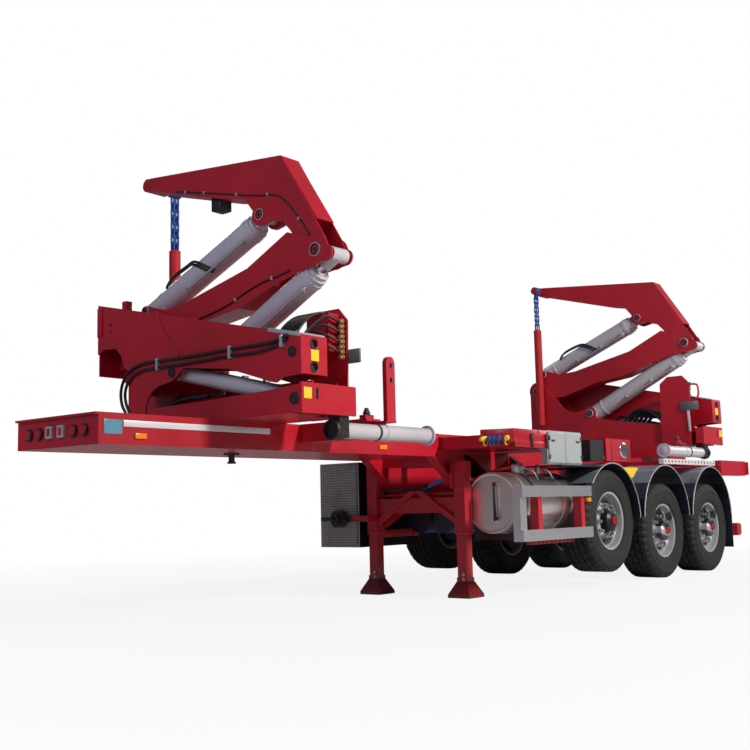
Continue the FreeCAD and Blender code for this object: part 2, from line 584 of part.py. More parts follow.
def rear_end():
    """Underrun bumper with its lamps, and the white lock bars of the rear bed."""
    node("rear_bumper", [
        block("rear_x + 120", "125 - half_width", "bumper_z", 100, "2*half_width - 250", "bumper_height"),
        block("rear_x + 150", "-rail_y - 30", "bumper_z + bumper_height", 60, 60,
              "tail_bottom - bumper_z - bumper_height"),
        block("rear_x + 150", "rail_y - 30", "bumper_z + bumper_height", 60, 60,
              "tail_bottom - bumper_z - bumper_height")])
    lamps = []
    for side in (1, -1):
        lamps.append(block("rear_x + 80", f"{side}*(half_width - 300) - 175", "bumper_z + 15", 40, 350, 130))
    node("lamps", lamps)
    bars = []
    for side in (1, -1):
        low = "half_width - 160" if side > 0 else "-half_width + 100"
        bars.append(block("bar_rear_x", low, "bar_z", "bar_front_x - bar_rear_x", 60, "bar_height"))
    node("lock_bars", bars)


# ---------------------------------------------------------------- cranes

LIFT_ANGLE = "atan2(lift_eye_z - lift_foot_z; lift_eye_y - lift_foot_y)"
LIFT_LENGTH = "hypot(lift_eye_z - lift_foot_z; lift_eye_y - lift_foot_y)"
REACH_ANGLE = "atan2(reach_eye_z - reach_foot_z; reach_eye_y - reach_foot_y)"
REACH_LENGTH = "hypot(reach_eye_z - reach_foot_z; reach_eye_y - reach_foot_y)"
RAM_ANGLE = "atan2(ram_eye_z - ram_foot_z; ram_eye_y - ram_foot_y)"
RAM_LENGTH = "hypot(ram_eye_z - ram_foot_z; ram_eye_y - ram_foot_y)"


class Crane:
    """One crane's frame: u runs outward from the boom's centre plane at the given place."""

    def __init__(self, name, centre, outward):
        self.name = name
        self.centre = centre
        self.outward = outward

    def low_x(self, u, width):
        if self.outward > 0:
            return f"{self.centre} + ({u})"
        return f"{self.centre} - ({u}) - ({width})"

    def block(self, u, y, z, du, dy, dz):
        return block(self.low_x(u, du), y, z, du, dy, dz)

    def rod(self, u, y, z, radius, width):
        return rod("x", self.low_x(u, width), y, z, radius, width)

    def plate(self, u, points, width):
        return plate("YZ_Plane", points, width, self.low_x(u, width))

    def pair(self, inner, width, points):
        """Two like plates, one each side of the boom's centre plane."""
        return [self.plate(inner, points, width), self.plate(f"-({inner}) - ({width})", points, width)]

    def discs(self, inner, width, y, z, radius):
        return [self.rod(inner, y, z, radius, width),
                self.rod(f"-({inner}) - ({width})", y, z, radius, width)]

    def slanted(self, u, y, z, angle, start, radius, length):
        """A round bar in the crane's plane, from a point along an angle above +Y."""
        obj = doc.addObject("Part::Cylinder", "bar")
        obj.setExpression("Radius", cell(radius))
        obj.setExpression("Height", cell(length))
        obj.Placement = FreeCAD.Placement(FreeCAD.Vector(), FreeCAD.Rotation(FreeCAD.Vector(1, 0, 0), 1))
        obj.setExpression("Placement.Rotation.Angle", cell(f"({angle}) - 90 deg"))
        sign = "+" if self.outward > 0 else "-"
        return place(obj, f"{self.centre} {sign} ({u})", f"{y} + ({start})*cos({angle})",
                     f"{z} + ({start})*sin({angle})")

    def node(self, name, pieces):
        return node(f"{self.name}_{name}", pieces)

    def cut_node(self, name, pieces, tools):
        body = doc.addObject("Part::MultiFuse", "body")
        body.Shapes = pieces
        return named(f"{self.name}_{name}", less(body, tools))


def crane_base(crane):
    """Slide carriage with the boom's tower, the lift cylinder's seat and the valve tower."""
    floor_z = "deck_z + slide_gap"
    cheek = [
        ("base_side_y", floor_z), ("base_side_y", "foot_z - 30"), ("foot_y - 75", "foot_z + 100"),
        ("foot_y + 75", "foot_z + 100"), ("foot_y + 310", "foot_z - 153"), ("foot_y + 370", "foot_z - 235"),
        ("foot_y + 450", "foot_z - 295"), ("foot_y + 560", "foot_z - 335"),
        ("lift_foot_y - 60", "lift_foot_z + 55"), ("lift_foot_y + 50", "lift_foot_z + 50"),
        ("lift_foot_y + 90", "lift_foot_z - 66"), ("lift_foot_y + 336", "lift_foot_z - 122"),
        ("base_end_y - 330", "lift_foot_z - 214"), ("base_end_y", "lift_foot_z - 214"),
        ("base_end_y", floor_z)]
    pieces = crane.pair("cheek_gap", "cheek", cheek)
    pieces += crane.discs("cheek_gap", "cheek", "foot_y", "foot_z", 125)
    pieces += crane.discs("cheek_gap", "cheek", "lift_foot_y", "lift_foot_z", 85)
    pieces.append(crane.rod("-cheek_gap - cheek - 8", "foot_y", "foot_z", "pin_radius",
                            "2*cheek_gap + 2*cheek + 16"))
    pieces.append(crane.rod("-cheek_gap - cheek - 6", "lift_foot_y", "lift_foot_z", "small_pin_radius",
                            "2*cheek_gap + 2*cheek + 12"))
    pieces.append(crane.block("-cheek_gap", "base_side_y", floor_z, "2*cheek_gap",
                              "base_end_y - base_side_y", 130))
    pieces.append(crane.block("-cheek_gap", "base_side_y", floor_z, "2*cheek_gap", 20, 520))
    pieces.append(crane.block("cheek_gap + cheek", "base_side_y", floor_z,
                              "outer_u - cheek_gap - cheek", "base_end_y + 90 - base_side_y", "floor"))
    pieces.append(crane.block("cheek_gap + cheek", "foot_y + 100", "foot_z - 440",
                              "inner_u - cheek_gap - cheek", 140, 110))
    tower = [
        ("base_end_y - 305", floor_z), ("base_end_y - 300", "foot_z - 68"),
        ("base_end_y - 196", "foot_z + 17"),
        ("base_end_y", "foot_z + 17"), ("base_end_y + 90", "foot_z - 86"), ("base_end_y + 75", floor_z)]
    pieces.append(crane.plate("-cheek_gap - cheek - 30", tower, 14))
    pieces.append(crane.block("-cheek_gap - cheek - 16", "base_end_y - 280", floor_z, 16, 260, 240))
    pieces.append(crane.block("-cheek_gap - cheek - 16", "base_end_y - 220", "foot_z - 330", 130, 230, 300))
    for step in range(8):
        pieces.append(crane.rod("-cheek_gap - cheek - 17", "base_end_y + 50",
                                f"foot_z - 95 - {step}*40", 13, 45))
    crane.node("crane_base", pieces)


def stabiliser_frame(crane):
    """The hooked beam across the carriage's outer side, open below for the outrigger's ram."""
    top, end = "(ram_foot_z + 682)", "outrigger_end_y"
    fall = "(ram_foot_z + 140)"
    foot = "deck_z + slide_gap + floor"
    front = [
        ("-1150", top), ("-1150", "ram_foot_z + 250"), ("-1060", "ram_foot_z + 285"),
        ("-900", "ram_foot_z + 275"), ("-826", "ram_foot_z + 207"), ("-790", "ram_foot_z + 115"),
        ("-717", "ram_foot_z + 54"), ("-712", "ram_foot_z - 133"), ("-653", "ram_foot_z - 261"),
        ("-640", foot), ("-505", foot), ("-495", "ram_foot_z - 250"), ("-460", "ram_foot_z - 180"),
        ("-405", "ram_foot_z - 128"), ("-330", "ram_foot_z - 96"), ("-250", "ram_foot_z - 84"),
        ("-170", "ram_foot_z - 74"),
        ("-80", "ram_foot_z - 20"), ("-23", "ram_foot_z + 23"), ("493", "ram_foot_z - 37"),
        ("891", "ram_foot_z - 160"), ("950", "ram_foot_z - 180"), ("1006", "ram_foot_z - 191"),
        ("1070", "ram_foot_z - 158"), (end, "ram_foot_z - 150"), (end, fall)]
    back = front[:1] + [
        ("-1150", "ram_foot_z + 52"), ("-1112", "ram_foot_z + 18"), ("-1008", "ram_foot_z + 12"),
        ("-985", "ram_foot_z + 110"), ("-860", "ram_foot_z + 120"), ("-825", "ram_foot_z + 160")] + front[4:]
    skin = 15
    pieces = [crane.plate(f"outer_u - {skin}", front, skin), crane.plate("inner_u", back, skin)]
    cover = [("-1150", top), (end, fall), (end, fall + " - 15"), ("-1150", top + " - 15")]
    gap = f"outer_u - inner_u - {2 * skin}"
    pieces.append(crane.plate(f"inner_u + {skin}", cover, gap))
    pieces.append(crane.block(f"inner_u + {skin}", -1150, "ram_foot_z + 60", gap, 15, 605))
    pieces.append(crane.block("inner_u", "-1135", "ram_foot_z + 130", 60, 290, 120))
    pieces.append(crane.block(f"inner_u + {skin}", -712, "ram_foot_z - 130", gap, 15, 180))
    pieces.append(crane.block(f"inner_u + {skin}", -640, foot, gap, 120, 130))
    end_box = crane.block(f"inner_u + {skin}", end + " - 27", "ram_foot_z - 145", gap, 27, 280)
    holes = [rod("y", crane.low_x("ram_u", 0), end + " - 28", "ram_foot_z + " + dz, 33, 30)
             for dz in ("80", "-90")]
    pieces.append(less(end_box, holes))
    pieces.append(crane.rod("inner_u", "ram_foot_y", "ram_foot_z", 30, "outer_u - inner_u + 5"))
    pieces.append(crane.block("ram_u - 60", -1000, top + " - 60", 60, 60, 92))
    crane.node("stabiliser_frame", pieces)


def lower_boom(crane):
    """Inner boom: two side plates on a box, forked at the root and at the elbow."""
    side = [
        ("reach_foot_y - 4", "reach_foot_z + 54"), ("foot_y + 346", "foot_z + 207"),
        ("foot_y + 572", "foot_z + 225"), ("foot_y + 1081", "foot_z + 341"),
        ("foot_y + 1380", "foot_z + 410"), ("elbow_y - 300", "elbow_z + 190"),
        ("elbow_y - 20", "elbow_z + 100"), ("elbow_y + 70", "elbow_z + 85"),
        ("lift_eye_y + 30", "lift_eye_z + 50"), ("lift_eye_y + 10", "lift_eye_z - 60"),
        ("elbow_y - 111", "elbow_z - 132"), ("elbow_y - 475", "elbow_z - 216"),
        ("foot_y + 1279", "foot_z + 96"), ("foot_y + 892", "foot_z + 45"), ("foot_y + 398", "foot_z - 100"),
        ("foot_y + 20", "foot_z - 118"), ("foot_y - 90", "foot_z - 80"), ("foot_y - 125", "foot_z + 10")]
    pieces = crane.pair("inner_half - inner_plate", "inner_plate", side)
    pieces += crane.discs("inner_half - inner_plate", "inner_plate", "foot_y", "foot_z", 118)
    pieces += crane.discs("inner_half - inner_plate", "inner_plate", "lift_eye_y", "lift_eye_z", 62)
    pieces += crane.discs("inner_half - inner_plate", "inner_plate", "elbow_y", "elbow_z", "elbow_boss")
    box = [
        ("foot_y - 60", "foot_z + 80"), ("foot_y + 250", "foot_z + 135"), ("foot_y + 346", "foot_z + 160"),
        ("foot_y + 572", "foot_z + 225"), ("foot_y + 1081", "foot_z + 341"),
        ("foot_y + 1380", "foot_z + 410"),
        ("elbow_y - 470", "elbow_z + 55"), ("elbow_y - 490", "elbow_z - 200"),
        ("foot_y + 1279", "foot_z + 96"), ("foot_y + 892", "foot_z + 45"), ("foot_y + 398", "foot_z - 100"),
        ("foot_y + 20", "foot_z - 118"), ("foot_y - 90", "foot_z - 60")]
    width = "2*(inner_half - inner_plate)"
    pieces.append(crane.plate("inner_plate - inner_half", box, width))
    pieces.append(crane.rod("-inner_half - 8", "reach_foot_y", "reach_foot_z", "small_pin_radius",
                            "2*inner_half + 16"))
    bore = crane.rod("-inner_half - 10", "foot_y", "foot_z", "pin_radius + running_gap", "2*inner_half + 20")
    pieces += crane.discs("boom_half - boom_plate - 1", "inner_half - boom_half + boom_plate + 9",
                          "elbow_y", "elbow_z", "pin_radius")
    crane.cut_node("lower_boom", pieces, [bore])


def upper_boom(crane):
    """Outer boom: deep tapered box whose side plates reach down over the elbow."""
    outline_points = [
        ("tip_y - 45", "tip_z + 40"), ("tip_y + 45", "tip_z + 55"), ("elbow_y - 377", "elbow_z + 840"),
        ("elbow_y + 90", "elbow_z + 80")]
    underside = [
        ("elbow_y - 289", "elbow_z + 214"), ("elbow_y - 355", "elbow_z + 286"),
        ("reach_eye_y + 116", "reach_eye_z - 66"), ("reach_eye_y + 40", "reach_eye_z - 84"),
        ("reach_eye_y - 60", "reach_eye_z + 20"), ("reach_eye_y - 182", "reach_eye_z + 169"),
        ("reach_eye_y - 403", "reach_eye_z + 210"), ("tip_y + 46", "tip_z - 62"),
        ("tip_y - 45", "tip_z - 40")]
    side = outline_points + [
        ("elbow_y + 105", "elbow_z + 10"), ("elbow_y + 60", "elbow_z - 90"), ("elbow_y - 60", "elbow_z - 90"),
        ("elbow_y - 108", "elbow_z - 10")] + underside
    pieces = crane.pair("boom_half - boom_plate", "boom_plate", side)
    pieces += crane.discs("boom_half - boom_plate", "boom_plate", "elbow_y", "elbow_z", "elbow_radius")
    pieces += crane.discs("boom_half - boom_plate", "boom_plate", "reach_eye_y", "reach_eye_z", 90)
    box = outline_points[:3] + [
        ("elbow_y + 4", "elbow_z + 250"), ("elbow_y - 82", "elbow_z + 238"),
        ("elbow_y - 178", "elbow_z + 178")] + underside
    core = crane.plate("boom_plate - boom_half", box, "2*(boom_half - boom_plate)")
    ear = crane.rod("boom_plate - boom_half", "reach_eye_y", "reach_eye_z", 90, "2*(boom_half - boom_plate)")
    whole = doc.addObject("Part::MultiFuse", "core")
    whole.Shapes = [core, ear]
    slots = [
        crane.rod("-eye_half - 5", "reach_eye_y", "reach_eye_z", 150, "2*eye_half + 10"),
        crane.rod("-eye_half - 5", "reach_eye_y + 188", "reach_eye_z - 68", 135, "2*eye_half + 10")]
    pieces.append(less(whole, slots))
    pieces += crane.discs("boom_half", 10, "reach_eye_y", "reach_eye_z", 48)
    pieces.append(crane.rod("boom_plate - boom_half", "tip_y", "tip_z", "tip_radius",
                            "2*(boom_half - boom_plate)"))
    pieces += crane.discs("boom_half - boom_plate", "boom_plate", "tip_y", "tip_z", "tip_radius")
    pieces.append(crane.rod("chain_u - 54", "tip_y", "tip_z", 28, "-chain_u - boom_half + 55"))
    pieces.append(crane.rod("chain_u - 58", "tip_y", "tip_z", 40, 9))
    bores = [crane.rod(u, "elbow_y", "elbow_z", "pin_radius + running_gap", "boom_plate + 4")
             for u in ("boom_half - boom_plate - 2", "-boom_half - 2")]
    crane.cut_node("upper_boom", pieces, bores)


def cylinder(crane, name, u, foot, angle, length, sizes):
    """A hydraulic cylinder as two sub-parts: the barrel on its foot eye and the rod with its own."""
    radius, bore, rod_radius, barrel, rod_length, half, head_half, eye, pin = sizes
    y, z = foot
    foot_eye = crane.rod(f"{u} - ({half})", y, z, eye, f"2*({half})")
    shell = crane.slanted(u, y, z, angle, 0, radius, f"{barrel} - 35")
    gland = crane.slanted(u, y, z, angle, f"{barrel} - 60", f"{radius} - 14", 60)
    body = doc.addObject("Part::MultiFuse", "barrel")
    body.Shapes = [foot_eye, shell, gland]
    tools = [crane.slanted(u, y, z, angle, 100, bore, barrel),
             crane.rod(f"{u} - {radius} - 20", y, z, f"{pin} + running_gap", f"2*{radius} + 40")]
    named(f"{crane.name}_{name}_barrel", less(body, tools))
    start = f"{length} - ({rod_length})"
    stem = crane.slanted(u, y, z, angle, start, rod_radius, rod_length)
    eye_y = f"{y} + ({length})*cos({angle})"
    eye_z = f"{z} + ({length})*sin({angle})"
    head = crane.rod(f"{u} - ({head_half})", eye_y, eye_z, f"{rod_radius} + 3", f"2*({head_half})")
    crane.node(f"{name}_rod", [stem, head])


def outrigger(crane):
    """Sliding stabiliser beam with its end cap and bolted outer cheek, and the folded leg it carries."""
    side = [
        ("outrigger_root_y", "outrigger_low"), ("outrigger_root_y", "outrigger_high - 56"),
        ("281", "outrigger_high - 41"), ("890", "outrigger_high - 22"), ("1200", "outrigger_high"),
        ("outrigger_end_y", "outrigger_high"), ("outrigger_end_y", "outrigger_low")]
    skin = 14
    cheek = side[:4] + [("outrigger_end_y - 22 - joint_gap", "outrigger_high"),
                        ("outrigger_end_y - 22 - joint_gap", "outrigger_low")]
    pieces = [crane.plate(f"outer_u - {skin}", cheek, skin), crane.plate("inner_u", side, skin)]
    gap = f"outer_u - inner_u - {2 * skin} - joint_gap"
    pieces.append(crane.block(f"inner_u + {skin}", "outrigger_root_y", "outrigger_low", gap,
                              "outrigger_end_y - outrigger_root_y", skin))
    pieces.append(crane.block("-110", "outrigger_end_y - 22", "deck_z", "outer_u + 110", 22,
                              "outrigger_high + 15 - deck_z"))
    pieces.append(crane.block("-110", "base_end_y + 40", "outrigger_high - 14", "inner_u + 110",
                              "outrigger_end_y - base_end_y - 40", 14))
    pieces.append(crane.block("-110", "base_end_y + 110", "outrigger_low", 14,
                              "outrigger_end_y - base_end_y - 110", "outrigger_high - outrigger_low"))
    pieces.append(crane.rod("inner_u - 4", "ram_eye_y", "ram_eye_z", 45, 19))
    pieces.append(crane.rod("outer_u - 14", "ram_eye_y", "ram_eye_z", 45, 19))
    crane.node("outrigger", pieces)
    crane.node("stabiliser_leg", [
        crane.block(-50, "leg_ram_y - 50", "leg_ram_z - 60", 110, "outrigger_end_y - 22 - leg_ram_y + 50",
                    "deck_z - leg_ram_z + 120"),
        crane.rod("-leg_ram_length", "leg_ram_y", "leg_ram_z", "leg_ram_radius", "leg_ram_length - 50"),
        crane.rod("-leg_ram_length*0.52", "leg_ram_y", "leg_ram_z", "leg_ram_radius + 5", 46),
        crane.rod("-leg_ram_length - 14", "leg_ram_y", "leg_ram_z", "sole_radius", 14)])


def link(crane, number, shift):
    """One chain link, turned a quarter from the one above, in a strand beside the chain's middle."""
    z = f"tip_z - 44 - link_inner/2 - {number}*(link_inner - slide_gap)"
    middle = f"chain_u + ({shift})"
    slot = "link_width - 2*link_thick"
    if number % 2:
        outer = crane.block(middle + " - link_thick/2", "tip_y - link_width/2",
                            z + " - link_inner/2 - link_thick", "link_thick", "link_width",
                            "link_inner + 2*link_thick")
        inner = crane.block(middle + " - link_thick/2 - 1", f"tip_y - ({slot})/2", z + " - link_inner/2",
                            "link_thick + 2", slot, "link_inner")
    else:
        outer = crane.block(middle + " - link_width/2", "tip_y - link_thick/2",
                            z + " - link_inner/2 - link_thick", "link_width", "link_thick",
                            "link_inner + 2*link_thick")
        inner = crane.block(middle + f" - ({slot})/2", "tip_y - link_thick/2 - 1", z + " - link_inner/2",
                            slot, "link_thick + 2", "link_inner")
    return less(outer, [inner])


def lifting_chain(crane):
    """Twin chain from the boom's tip with the padded sleeve over its lower run."""
    eye = less(crane.rod("chain_u - 48", "tip_y", "tip_z", 52, 96),
               [crane.rod("chain_u - 53", "tip_y", "tip_z", "28 + running_gap", 106)])
    pieces = [eye]
    count = SIZES["links"]
    for shift in ("-link_width/2 - 2", "link_width/2 + 2"):
        for number in range(count):
            pieces.append(link(crane, number, shift))
    low = f"tip_z - 44 - {count}*(link_inner - slide_gap)"
    pieces.append(rod("z", crane.low_x("chain_u", 0), "tip_y", low + " - sleeve_length",
                      "sleeve_radius", "sleeve_length - link_thick - slide_gap"))
    crane.node("lifting_chain", pieces)


def make_crane(crane):
    crane_base(crane)
    stabiliser_frame(crane)
    lower_boom(crane)
    upper_boom(crane)
    cylinder(crane, "lift", 0, ("lift_foot_y", "lift_foot_z"), LIFT_ANGLE, LIFT_LENGTH,
             ("barrel_radius", "bore_radius", "rod_radius", "lift_barrel", "lift_rod",
              "barrel_radius + 10", "boom_half - boom_plate - 8", 80, "small_pin_radius"))
    cylinder(crane, "reach", 0, ("reach_foot_y", "reach_foot_z"), REACH_ANGLE, REACH_LENGTH,
             ("barrel_radius", "bore_radius", "rod_radius", "reach_barrel", "reach_rod",
              "eye_half", "eye_half", 78, "small_pin_radius"))
    cylinder(crane, "ram", "ram_u", ("ram_foot_y", "ram_foot_z"), RAM_ANGLE, RAM_LENGTH,
             ("ram_radius", "ram_rod_radius + 0.1", "ram_rod_radius", RAM_LENGTH + " - ram_clear", "ram_rod",
              "ram_radius + 8", "ram_radius + 8", 62, "30"))
    outrigger(crane)
    lifting_chain(crane)


main_frame()
side_bed()
gooseneck()
bolsters()
landing_legs()
wheels()
axles()
suspension()
fenders()
side_equipment()
rear_end()
make_crane(Crane("front", "front_boom_x", 1))
make_crane(Crane("rear", "rear_boom_x", -1))

doc.recompute()
faults = [o.Name + " " + o.Label for o in doc.Objects if "Invalid" in o.State or "Error" in o.State]
if faults:
    raise RuntimeError("objects that failed: " + ", ".join(faults))
for sub_part in NODES:
    if sub_part.Shape.isNull() or not sub_part.Shape.isValid():
        raise RuntimeError("bad shape: " + sub_part.Label)

os.makedirs("parts", exist_ok=True)
for sub_part in NODES:
    sub_part.Shape.exportStep(f"parts/{sub_part.Label}.step")
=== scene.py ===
"""Looks of the side loader semi-trailer: finishes for its CAD nodes, and the small pieces that dress them."""
from contextlib import contextmanager
import json
import math

import bmesh
import bpy
from mathutils import Matrix, Vector


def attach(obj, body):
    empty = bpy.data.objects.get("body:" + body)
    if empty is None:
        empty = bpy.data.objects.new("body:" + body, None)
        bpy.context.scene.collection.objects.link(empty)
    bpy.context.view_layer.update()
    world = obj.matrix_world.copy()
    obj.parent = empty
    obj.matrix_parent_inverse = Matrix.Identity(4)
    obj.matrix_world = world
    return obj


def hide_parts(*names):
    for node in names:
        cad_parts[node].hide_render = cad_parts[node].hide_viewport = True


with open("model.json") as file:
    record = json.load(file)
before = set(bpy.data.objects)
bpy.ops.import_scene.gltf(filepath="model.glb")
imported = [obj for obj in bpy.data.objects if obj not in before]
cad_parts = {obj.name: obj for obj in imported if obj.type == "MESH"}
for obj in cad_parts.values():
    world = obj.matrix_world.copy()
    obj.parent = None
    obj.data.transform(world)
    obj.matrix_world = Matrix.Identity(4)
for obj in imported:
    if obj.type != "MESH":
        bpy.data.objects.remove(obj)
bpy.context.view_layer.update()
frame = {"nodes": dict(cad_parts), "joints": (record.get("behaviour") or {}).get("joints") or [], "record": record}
bpy.context.view_layer.update()

# Places and sizes of the CAD nodes, in metres of the row frame: +X forward, +Y left, +Z up.
SIDES = (1, -1)
X_AXIS, Y_AXIS, Z_AXIS = (1, 0, 0), (0, 1, 0), (0, 0, 1)
DECK_Z = 1.56
FIRST_AXLE_X, AXLE_PITCH, AXLE_Z = -1.055, 1.31, 0.678
TYRE_RADIUS, TYRE_HALF, RIM_RADIUS = 0.536, 0.1925, 0.298
FENDER_RADIUS, FENDER_EDGES = 0.603, (1.247, 0.833, -1.247, -0.833)
TANK_Y, TANK_Z, TANK_RADIUS = 0.828, 0.89, 0.292
NECK_SIDE = 0.4845
PANEL_FACE = 1.2515
LEG_X, LEG_Y = 0.722, 0.548
LOCK_X, LOCK_Y = (2.845, -3.008), 1.1295
POST_X, POST_HOLES_Z = 2.586, (2.008, 1.888)
FRONT_CRANE_X, REAR_CRANE_X = 3.235, -3.615

# Pins of a crane, as y and z, and faces of its stabiliser frame.
BOOM_FOOT, ELBOW = (-1.05, 2.41), (1.082, 2.848)
LIFT_FOOT, LIFT_EYE = (-0.266, 2.051), (1.19, 2.805)
REACH_FOOT, REACH_EYE = (-0.962, 2.64), (0.462, 3.248)
RAM_FOOT, RAM_EYE = (-0.165, 1.988), (1.191, 1.666)
FOLDED_LEG = (1.178, 1.456)
BARREL_RADIUS = 0.105
FRAME_FACE, END_FACE = 0.49, 1.2605


# ---------------------------------------------------------------- finishes

class Level:
    """A number that varies over a surface; the usual operators add its Math nodes."""

    def __init__(self, finish, socket):
        self.finish, self.socket = finish, socket

    def maths(self, operation, *others, first=None):
        values = (self.socket, *others) if first is None else (first, self.socket)
        made = self.finish.add("Math", dict(enumerate(values)), operation=operation)
        return Level(self.finish, made.outputs[0])

    def __add__(self, other):
        return self.maths("ADD", other)

    def __sub__(self, other):
        return self.maths("SUBTRACT", other)

    def __rsub__(self, other):
        return self.maths("SUBTRACT", first=other)

    def __mul__(self, other):
        return self.maths("MULTIPLY", other)

    def __truediv__(self, other):
        return self.maths("DIVIDE", other)

    __radd__, __rmul__ = __add__, __mul__

    def over(self, start, end):
        """0 below start, 1 above end, and a smooth rise between them."""
        made = self.finish.add("MapRange", {"Value": self.socket, "From Min": start, "From Max": end},
                               interpolation_type="SMOOTHSTEP")
        return Level(self.finish, made.outputs[0])

    def under(self, start, end):
        return 1 - self.over(start, end)

    def size(self):
        return self.maths("ABSOLUTE")

    def wave(self):
        return self.maths("SINE")

    def cycle(self, length):
        """The place within a repeat of this length, from 0 to 1."""
        return (self / length).maths("FRACT")


class Nodes:
    """The nodes of a material or of the world."""

    def __init__(self, tree):
        self.tree = tree

    def add(self, kind, values=None, **settings):
        """One node: its settings are made first, then the values or links of its sockets."""
        made = self.tree.nodes.new("ShaderNode" + kind)
        for key, setting in settings.items():
            setattr(made, key, setting)
        for key, value in (values or {}).items():
            self.feed(made.inputs[key], value)
        return made

    def feed(self, socket, value):
        if isinstance(value, Level):
            value = value.socket
        if isinstance(value, bpy.types.NodeSocket):
            self.tree.links.new(value, socket)
        else:
            socket.default_value = value


class Finish(Nodes):
    """A surface finish built from nodes that read the piece's own coordinates."""

    def __init__(self, name, slot, colour, metallic=0.0, coat=0.0):
        self.material = bpy.data.materials.new(name)
        self.material.use_nodes = True
        super().__init__(self.material.node_tree)
        self.slot = slot
        self.shader = self.tree.nodes["Principled BSDF"]
        self.colour = (*colour, 1)
        self.put("Base Color", self.colour)
        self.put("Metallic", metallic)
        self.put("Coat Weight", coat)
        self.put("Coat Roughness", 0.08)

    def put(self, name, value):
        self.feed(self.shader.inputs[name], value)

    def part_of(self, coordinates, letter):
        spot = self.add("TexCoord").outputs[coordinates]
        return Level(self, self.add("SeparateXYZ", {0: spot}).outputs["XYZ".index(letter)])

    def axis(self, letter):
        return self.part_of("Object", letter)

    def facing(self, letter):
        """How far the surface faces along an axis of the row frame, from -1 to 1."""
        return self.part_of("Normal", letter)

    def off(self, letter, middle):
        """The distance from a plane across an axis."""
        return (self.axis(letter) - middle).size()

    def off_line(self, first, second, first_place, second_place):
        """The square of the distance from a line along the third axis."""
        across, up = first - first_place, second - second_place
        return across * across + up * up

    def clouds(self, scale, detail=4, stretch=(1, 1, 1)):
        spot = self.add("TexCoord").outputs["Object"]
        place = self.add("Mapping", {"Vector": spot, "Scale": stretch}).outputs[0]
        made = self.add("TexNoise", {"Vector": place, "Scale": scale, "Detail": detail})
        return Level(self, made.outputs[0])

    def tint(self, mask, colour):
        """Lays a second colour over the first where the mask is high."""
        made = self.add("Mix", {0: mask, 6: self.colour, 7: (*colour, 1)}, data_type="RGBA")
        self.colour = made.outputs[2]
        self.put("Base Color", self.colour)

    def patches(self, scale, detail, start, end):
        return self.clouds(scale, detail).over(start, end)

    def mottle(self, share, colour, *patches):
        """A second colour in cloudy patches."""
        self.tint(self.patches(*patches) * share, colour)

    def sheen(self, least, spread, scale, detail):
        """Roughness that wanders up from its least value."""
        self.put("Roughness", least + self.clouds(scale, detail) * spread)

    def relief(self, height, distance, strength):
        bump = self.add("Bump", {"Height": height, "Distance": distance, "Strength": strength})
        self.put("Normal", bump.outputs[0])


def gloss_paint(name, slot, colour, dark, coat):
    """Sprayed enamel: faint orange peel, broad tone changes, a dusty lower edge and streaks."""
    dust = (0.16, 0.12, 0.11)
    finish = Finish(name, slot, colour, coat=coat)
    fine = finish.clouds(9, 6)
    finish.mottle(0.55, dark, 0.9, 3, 0.42, 0.72)
    low = finish.axis("Z").under(0.15, 1.1)
    finish.tint(low * fine.over(0.45, 0.75) * 0.35, dust)
    finish.tint(finish.clouds(14, 4, (1, 1, 0.12)).over(0.6, 0.78) * 0.12, dust)
    finish.put("Roughness", 0.26 + fine * 0.16 + low * 0.15)
    finish.relief(finish.clouds(160, 2), 0.0006, 0.25)
    return finish


def cast_metal(name, slot, colour, roughness):
    finish = Finish(name, slot, colour, metallic=0.3)
    grime = finish.clouds(6, 6)
    finish.tint(grime.over(0.5, 0.75) * 0.5, (0.11, 0.09, 0.075))
    finish.put("Roughness", roughness + grime * 0.2)
    finish.relief(finish.clouds(120, 4), 0.001, 0.4)
    return finish


def plated(name, slot, colour, roughness, along):
    """Bright metal with fine lines along one axis."""
    finish = Finish(name, slot, colour, metallic=1.0)
    lines = finish.clouds(220, 3, [0.02 if letter == along else 1 for letter in "XYZ"])
    smudges = finish.clouds(5, 4)
    finish.tint(smudges.over(0.5, 0.8) * 0.25, [c * 0.7 for c in colour])
    finish.put("Roughness", roughness + lines * 0.08 + smudges * 0.08)
    finish.relief(lines, 0.0004, 0.15)
    return finish


def moulded(name, slot, colour, roughness):
    finish = Finish(name, slot, colour)
    finish.mottle(0.3, [c * 1.6 + 0.012 for c in colour], 3, 5, 0.5, 0.8)
    finish.sheen(roughness, 0.15, 40, 5)
    finish.relief(finish.clouds(300, 2), 0.0005, 0.3)
    return finish


def tread_plate():
    """Rolled alloy plate with raised diamonds on every face, and painted shade: near black on the inner side, the
    faces turned +Y.
    """
    finish = Finish("tread_plate", "checker_plate", (0.26, 0.25, 0.255), metallic=0.6)
    x, y, z = (finish.axis(letter) for letter in "XYZ")
    diamonds = (((x + y + z) * 118).wave() * ((x + y - z) * 118).wave()).over(0.25, 0.5)
    dirt = finish.clouds(5, 5)
    finish.tint(diamonds, (0.52, 0.5, 0.5))
    finish.tint(dirt.over(0.45, 0.75) * 0.45, (0.17, 0.16, 0.15))
    # painted shade: faces turned +Y, the inner side, are tinted near black
    finish.tint(finish.facing("Y").over(0.8, 0.9), (0.012, 0.011, 0.012))
    finish.put("Roughness", 0.5 - diamonds * 0.18 + dirt * 0.15)
    finish.relief(diamonds, 0.0025, 0.9)
    return finish


def tyre_rubber():
    finish = Finish("tyre_rubber", "tyre", (0.007, 0.007, 0.008))
    dust = finish.clouds(7, 6)
    finish.tint(dust.over(0.5, 0.8) * 0.45, (0.03, 0.028, 0.027))
    finish.put("Roughness", 0.62 + dust * 0.25)
    finish.relief(finish.clouds(90, 5), 0.0012, 0.5)
    return finish


